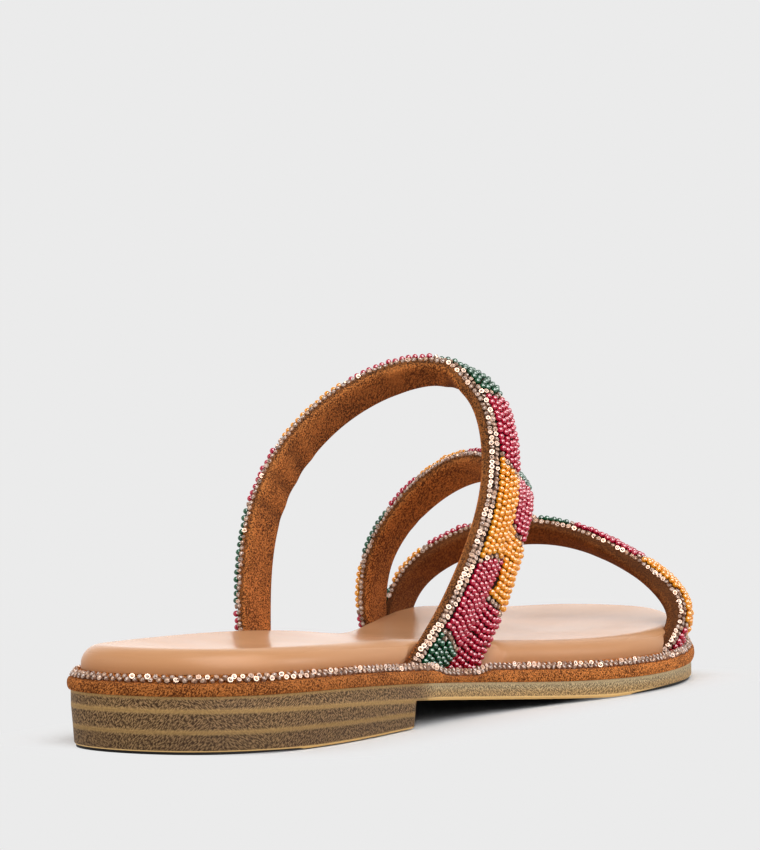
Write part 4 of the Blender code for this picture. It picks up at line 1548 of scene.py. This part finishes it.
class SANDAL_OT_footbed(bpy.types.Operator):
    """Build the padded footbed with soft pockets beside the straps"""

    bl_idname = "sandal.footbed"
    bl_label = "Footbed"

    def execute(self, context):
        sizes, colors = settings(context)
        leather = made_once("smooth_leather", leather_material, colors)
        skin = Skin()
        foot = ring(FOOTBED_INSET + FOOTBED_FOOT)
        side = ring(FOOTBED_INSET)
        top = ring(FOOTBED_INSET + FOOTBED_ROUND)
        crest = footbed_top(top[:, 0], top[:, 1])
        # The third value of each row is its share of the painted shade on the side.
        rows = [
            (foot, seat(foot[:, 0]) + FOOTBED_LIFT, 1.0),
            (side, seat(side[:, 0]) + FOOTBED_LIFT + FOOTBED_FOOT, 1.0),
        ]
        for angle in np.linspace(0.0, np.pi / 2, ROUND_STEPS + 1):
            points = ring(FOOTBED_INSET + FOOTBED_ROUND * (1 - np.cos(angle)))
            heights = crest - FOOTBED_ROUND * (1 - np.sin(angle))
            rows.append((points, heights, FOOTBED_TONE * (1 - angle * 2 / np.pi)))
        loops, marks = lay_rings(skin, rows)
        skin.cap(loops[0])
        skin.cap(loops[-1], FOOTBED_COLUMNS, footbed_top)
        points = np.array(skin.points) / MM + CENTRE
        points = yield_to_straps(points, sizes.pocket / MM)
        skin.points = list((points - CENTRE) * MM)
        footbed = skin.piece("padded_footbed", (leather,), side=marks)
        dress(footbed, "footbed_leather", "footbed")
        return {"FINISHED"}


# Section of a band: share of the half width, distance past it, share of the wall, height past it, and how
# far a point belongs to the lining, the cut edge, the painted highlight line and the ground under the beads,
# painted near-black as shade
BandRow = namedtuple("BandRow", "half past wall rise inner cut rubbed ground")
INNER_SHARES = (-0.84, -0.56, -0.28, 0.0, 0.28, 0.56, 0.84)
EDGE_SECTION = [
    BandRow(1.0, -0.62, 0.00, 0.05, 0.8, 0.0, 0.6, 0.0),
    BandRow(1.0, -0.25, 0.00, 0.18, 0.5, 0.0, 1.0, 0.0),
    BandRow(1.0, -0.05, 0.00, 0.55, 0.2, 0.6, 0.3, 0.0),
    BandRow(1.0, 0.00, 0.00, 0.85, 0.0, 0.9, 0.0, 0.0),
    BandRow(1.0, -0.05, 0.68, 0.00, 0.0, 1.0, 0.0, 0.0),
    # Painted shade at half strength at the foot of the wall, beside the edge crystals.
    BandRow(1.0, -0.20, 0.94, 0.00, 0.0, 1.0, 0.0, 0.5),
]
OUTER_SHARES = (0.8, 0.5, 0.0, -0.5, -0.8)
BAND_ROWS = [
    *[BandRow(share, 0.0, 0.0, 0.0, 1.0, 0.0, 0.0, 0.0) for share in INNER_SHARES],
    *EDGE_SECTION,
    *[BandRow(share, 0.0, 1.0, 0.0, 0.0, 1.0, 0.0, 1.0) for share in OUTER_SHARES],
    *[row._replace(half=-row.half, past=-row.past) for row in reversed(EDGE_SECTION)],
]


BAND_PITCH = 0.9            # distance between a section's points on the surface map
EDGE_HIGHLIGHT_END = (0.4, 0.55)    # the painted highlight line runs out between these shares of a strap
PALE_EDGE = (-0.95, -0.5)   # the back edge's strip that the painted shade spares, in shares of the half width
# Painted shade on each lining: how dark it is, most of all round the given share, and how much of it its
# back edge is spared
ShadeRow = namedtuple("ShadeRow", "share spread amount pale_edge")
LINING_SHADE = {
    "instep": ShadeRow(0.58, 0.18, 0.48, 0.90),
    "middle": ShadeRow(0.65, 0.40, 0.36, 0.60),
    "toe": ShadeRow(0.40, 3.00, 0.74, 0.00),
}


def lining_folds(band, across, widest):
    """Height of the folds in a strap's lining that spread less far than widest."""
    height = np.zeros(len(band.s))
    for row in CREASES:
        if row.strap == band.name and row.spread < widest:
            hump = np.exp(-((band.s - band.distance(row.share)) / row.spread) ** 2)
            height += row.height * hump * np.clip(0.5 + 0.5 * row.lean * across / band.half, 0.0, 1.0)
    return height


def lining_height(band, across):
    """Padding and folds of a strap's lining: how far its inner face stands out."""
    padding = LINING_PUFF * (1 - (across / band.half) ** 2) * smooth_step(band.lift, *LINING_GROWTH)
    return LINING_PAD + padding + lining_folds(band, across, np.inf)


def make_band(name, sizes, material):
    """One strap's leather band, cut off at the rand."""
    band = strap(name)
    rows = round(band.length / BAND_STEP)
    columns = []
    spots = []
    folds = []
    for row in BAND_ROWS:
        across = row.half * band.half + row.past
        outer = row.wall * wall_height(band, across, sizes) + row.rise
        line = band.line(across, outer - row.inner * lining_height(band, across))
        low, high = band.standing(line)
        at = np.linspace(low, high, rows)
        columns.append(band.read(line, at))
        spots.append(band.read(band.s, at) * MM)
        # Heights of the short folds, which set the painted light and shade on them.
        folds.append(row.inner * band.read(lining_folds(band, across, SHORT_FOLD), at))
    skin = Skin()
    loops = [skin.row(np.array(points)) for points in zip(*columns)]
    width = np.arange(len(BAND_ROWS)) * BAND_PITCH * MM
    places = [[(u, v) for v, u in zip(run, width)] for run in zip(*spots)]
    skin.tube(loops, places)
    skin.face(loops[0], places[0])
    skin.face(loops[-1], places[-1])
    cut = [row.cut for row in BAND_ROWS] * rows
    shares = np.interp(np.mean(np.array(spots), axis=0) / MM, band.s, band.share)
    # This lining's painted shade.
    wear = LINING_SHADE[name]
    # Painted highlight along the lining's rounded edge, on the lateral part of a strap and weaker under the
    # painted shade.
    rubbed = np.outer((1 - smooth_step(shares, *EDGE_HIGHLIGHT_END)) * (1 - wear.amount),
                      [row.rubbed for row in BAND_ROWS]).ravel()
    # Painted shade on the lining, spared along its back edge.
    from_back = smooth_step(np.array([row.half for row in BAND_ROWS]), *PALE_EDGE)
    kept = 1 - wear.pale_edge * (1 - from_back)
    worn = np.outer(wear.amount * bell(shares, wear), kept).ravel()
    ground = [row.ground for row in BAND_ROWS] * rows
    fold = np.array(folds).T.ravel()
    return skin.piece(f"{name}_strap", (material,), sharp=60.0, cut_edge=cut, rubbed=rubbed, ground=ground,
                      worn=worn, fold=fold)


class SANDAL_OT_straps(bpy.types.Operator):
    """Build the leather of the three straps"""

    bl_idname = "sandal.straps"
    bl_label = "Strap Leather"

    def execute(self, context):
        sizes, colors = settings(context)
        suede = made_once("brushed_lining", suede_material, "brushed_lining", colors.lining,
                          colors.lining_dark, colors)
        for name in STRAPS:
            dress(make_band(name, sizes, suede), "strap_suede", "upper_straps")
        return {"FINISHED"}


class SANDAL_OT_beads(bpy.types.Operator):
    """Set the glass beads on the straps, one piece for each colour"""

    bl_idname = "sandal.beads"
    bl_label = "Glass Beads"

    def execute(self, context):
        sizes, colors = settings(context)
        layout = strap_layout(sizes)
        tree = tree_once("Set Beads", bead_shape)
        for name, coat in GLASS_COAT.items():
            glass = made_once(f"{name}_glass", glass_material, f"{name}_glass", getattr(colors, name),
                              getattr(colors, f"{name}_pale"), coat)
            beads = set_shapes(f"{name}_beads", tree, layout[name], glass, sizes.bead / 2, 0.0, ROUND_SIDES)
            dress(beads, "glass_bead")
        return {"FINISHED"}


class SANDAL_OT_crystals(bpy.types.Operator):
    """Set the crystals along the straps' edges and between their colours"""

    bl_idname = "sandal.crystals"
    bl_label = "Strap Crystals"

    def execute(self, context):
        sizes, colors = settings(context)
        set_crystals("strap", strap_layout(sizes)["stone"], sizes.stone / 2, STRAP_SHOWN, colors)
        return {"FINISHED"}


# Stage, in metres
FLOOR_RADIUS = 4.0
FLOOR_SIDES = 96
FLOOR_LEVEL = -0.0003
SHADOW_BOX = (0.095, 0.03, 0.0)    # half sides of the patch that takes shadows
SHADOW_END = (0.002, 0.026)        # distance from it over which they run out
CAMERA_CLIP = (0.05, 30.0)
GLOW_SIDE = (0.87, 0.49, 0.0)      # the room is bright on this side
GLOW_EDGE = (0.32, 0.8)
GLOW = (1.45, 1.45, 1.45, 1.0)
ROOM_RISE = (-0.1, 0.8)


def vector_math(tree, operation, first, second=(0.0, 0.0, 0.0), output="Vector"):
    """Result of a vector math node."""
    return add_node(tree, "ShaderNodeVectorMath", {0: first, 1: second}, operation=operation).outputs[output]


def floor_material(colors):
    """Pale floor that catches shadows near the sandal and runs out into the background."""
    material, tree, shader = new_material("pale_floor")
    place = object_place(tree)
    past = vector_math(tree, "SUBTRACT", vector_math(tree, "ABSOLUTE", place), SHADOW_BOX)
    outside = vector_math(tree, "MAXIMUM", past)
    far = remap(tree, vector_math(tree, "LENGTH", outside, output="Value"), *SHADOW_END)
    grain = noise(tree, place, 30.0)
    shade = mix_color(tree, times(tree, grain, 0.02), colors.floor, colors.floor_speck)
    finish(tree, shader, shade, 0.9, Specular_IOR_Level=0.1)
    glow = add_node(tree, "ShaderNodeEmission", {"Color": colors.floor, "Strength": 1.0})
    mixed = add_node(tree, "ShaderNodeMixShader", {0: far, 1: shader.outputs["BSDF"], 2: glow.outputs[0]})
    tree.links.new(mixed.outputs["Shader"], tree.nodes["Material Output"].inputs["Surface"])
    return material


def looking(along, place, roll=0.0):
    """Matrix of a light or camera that looks along a direction from a place, turned by roll degrees."""
    look = np.array(along) / np.linalg.norm(along)
    right = np.cross(look, (0.0, 0.0, 1.0))
    right /= np.linalg.norm(right)
    up = np.cross(right, look)
    turn = np.radians(roll)
    turned = np.cos(turn) * right + np.sin(turn) * up
    upright = np.cos(turn) * up - np.sin(turn) * right
    matrix = Matrix(np.column_stack([turned, upright, -look]).tolist()).to_4x4()
    matrix.translation = place
    return matrix


# Soft square lights that point at the sandal, in metres and watts; one for gloss is only seen in reflections
LightRow = namedtuple("LightRow", "name place size power only_gloss")
LIGHTS = [
    LightRow("key", (-0.62, -0.62, 1.0), 1.4, 15.0, False),
    LightRow("fill", (0.7, -1.0, 0.45), 0.5, 3.0, False),
    LightRow("rim", (-0.6, 0.8, 0.4), 0.6, 2.5, False),
    LightRow("panel_left", (-0.5, -0.9, 1.0), 1.9, 108.0, True),
    LightRow("panel_right", (0.6, -1.1, 0.5), 0.5, 7.0, True),
]


def add_lights():
    """All lights of the stage."""
    for row in LIGHTS:
        light = bpy.data.lights.new(row.name, "AREA")
        light.size = row.size
        light.energy = row.power
        obj = add_object(row.name, light)
        obj.visible_diffuse = not row.only_gloss
        obj.matrix_world = looking(-np.array(row.place), row.place)


def add_world(colors):
    """Soft room light, brighter overhead and ahead of the toe; the camera sees the background's tone."""
    world = bpy.data.worlds.new("studio")
    bpy.context.scene.world = world
    world.use_nodes = True
    tree = world.node_tree
    tree.nodes.clear()
    seen = add_node(tree, "ShaderNodeBackground", {"Color": colors.floor, "Strength": 1.0})
    where = tree.nodes.new("ShaderNodeTexCoord").outputs["Generated"]
    height = add_node(tree, "ShaderNodeSeparateXYZ", {"Vector": where}).outputs["Z"]
    behind = vector_math(tree, "DOT_PRODUCT", where, GLOW_SIDE, output="Value")
    around = mix_color(tree, remap(tree, height, *ROOM_RISE), colors.room_low, colors.room_high)
    tone = mix_color(tree, remap(tree, behind, *GLOW_EDGE), around, GLOW)
    lit = add_node(tree, "ShaderNodeBackground", {"Color": tone, "Strength": 1.0})
    path = tree.nodes.new("ShaderNodeLightPath")
    mixed = add_node(tree, "ShaderNodeMixShader", {
        0: path.outputs["Is Camera Ray"], 1: lit.outputs[0], 2: seen.outputs[0]})
    out = tree.nodes.new("ShaderNodeOutputWorld")
    tree.links.new(mixed.outputs["Shader"], out.inputs["Surface"])


def add_camera():
    """The photo's camera."""
    data = bpy.data.cameras.new("camera")
    data.sensor_width = 36.0
    data.lens = CAMERA_LENS
    data.clip_start, data.clip_end = CAMERA_CLIP
    camera = add_object("camera", data)
    camera.matrix_world = looking(CAMERA_LOOK, (np.array(CAMERA_PLACE) - CENTRE) * MM, CAMERA_ROLL)
    bpy.context.scene.camera = camera


class SANDAL_OT_stage(bpy.types.Operator):
    """Build the floor, the lights and the camera"""

    bl_idname = "sandal.stage"
    bl_label = "Stage"

    def execute(self, context):
        _, colors = settings(context)
        bm = bmesh.new()
        bmesh.ops.create_circle(bm, cap_ends=True, segments=FLOOR_SIDES, radius=FLOOR_RADIUS)
        mesh = bpy.data.meshes.new("floor")
        bm.to_mesh(mesh)
        bm.free()
        mesh.materials.append(floor_material(colors))
        floor = add_object("floor", mesh)
        floor.location = (0.0, 0.0, FLOOR_LEVEL)
        add_world(colors)
        add_lights()
        add_camera()
        context.scene.view_settings.view_transform = "Standard"
        return {"FINISHED"}


class SANDAL_PT_panel(bpy.types.Panel):
    """Lists the sandal's pieces with their sizes and colours"""

    bl_idname = "SANDAL_PT_panel"
    bl_label = "Sandal"
    bl_space_type = "VIEW_3D"
    bl_region_type = "UI"
    bl_category = "Sandal"

    def draw(self, context):
        for operator in OPERATORS:
            self.layout.operator(operator.bl_idname)
        for group in settings(context):
            box = self.layout.box()
            for name in group.__annotations__:
                box.prop(group, name)


OPERATORS = (
    SANDAL_OT_sole,
    SANDAL_OT_rand,
    SANDAL_OT_trim,
    SANDAL_OT_footbed,
    SANDAL_OT_straps,
    SANDAL_OT_beads,
    SANDAL_OT_crystals,
    SANDAL_OT_stage,
)
CLASSES = (SandalSizes, SandalColors, *OPERATORS, SANDAL_PT_panel)


def register():
    """Register the classes and the scene's settings."""
    for kind in CLASSES:
        bpy.utils.register_class(kind)
    bpy.types.Scene.sandal_sizes = bpy.props.PointerProperty(type=SandalSizes)
    bpy.types.Scene.sandal_colors = bpy.props.PointerProperty(type=SandalColors)


def unregister():
    """Remove the scene's settings and the classes."""
    del bpy.types.Scene.sandal_colors
    del bpy.types.Scene.sandal_sizes
    for kind in reversed(CLASSES):
        bpy.utils.unregister_class(kind)


def main():
    """Build the pieces and the stage."""
    register()
    bpy.ops.sandal.sole()
    bpy.ops.sandal.rand()
    bpy.ops.sandal.trim()
    bpy.ops.sandal.footbed()
    bpy.ops.sandal.straps()
    bpy.ops.sandal.beads()
    bpy.ops.sandal.crystals()
    bpy.ops.sandal.stage()


if __name__ == "__main__":
    main()
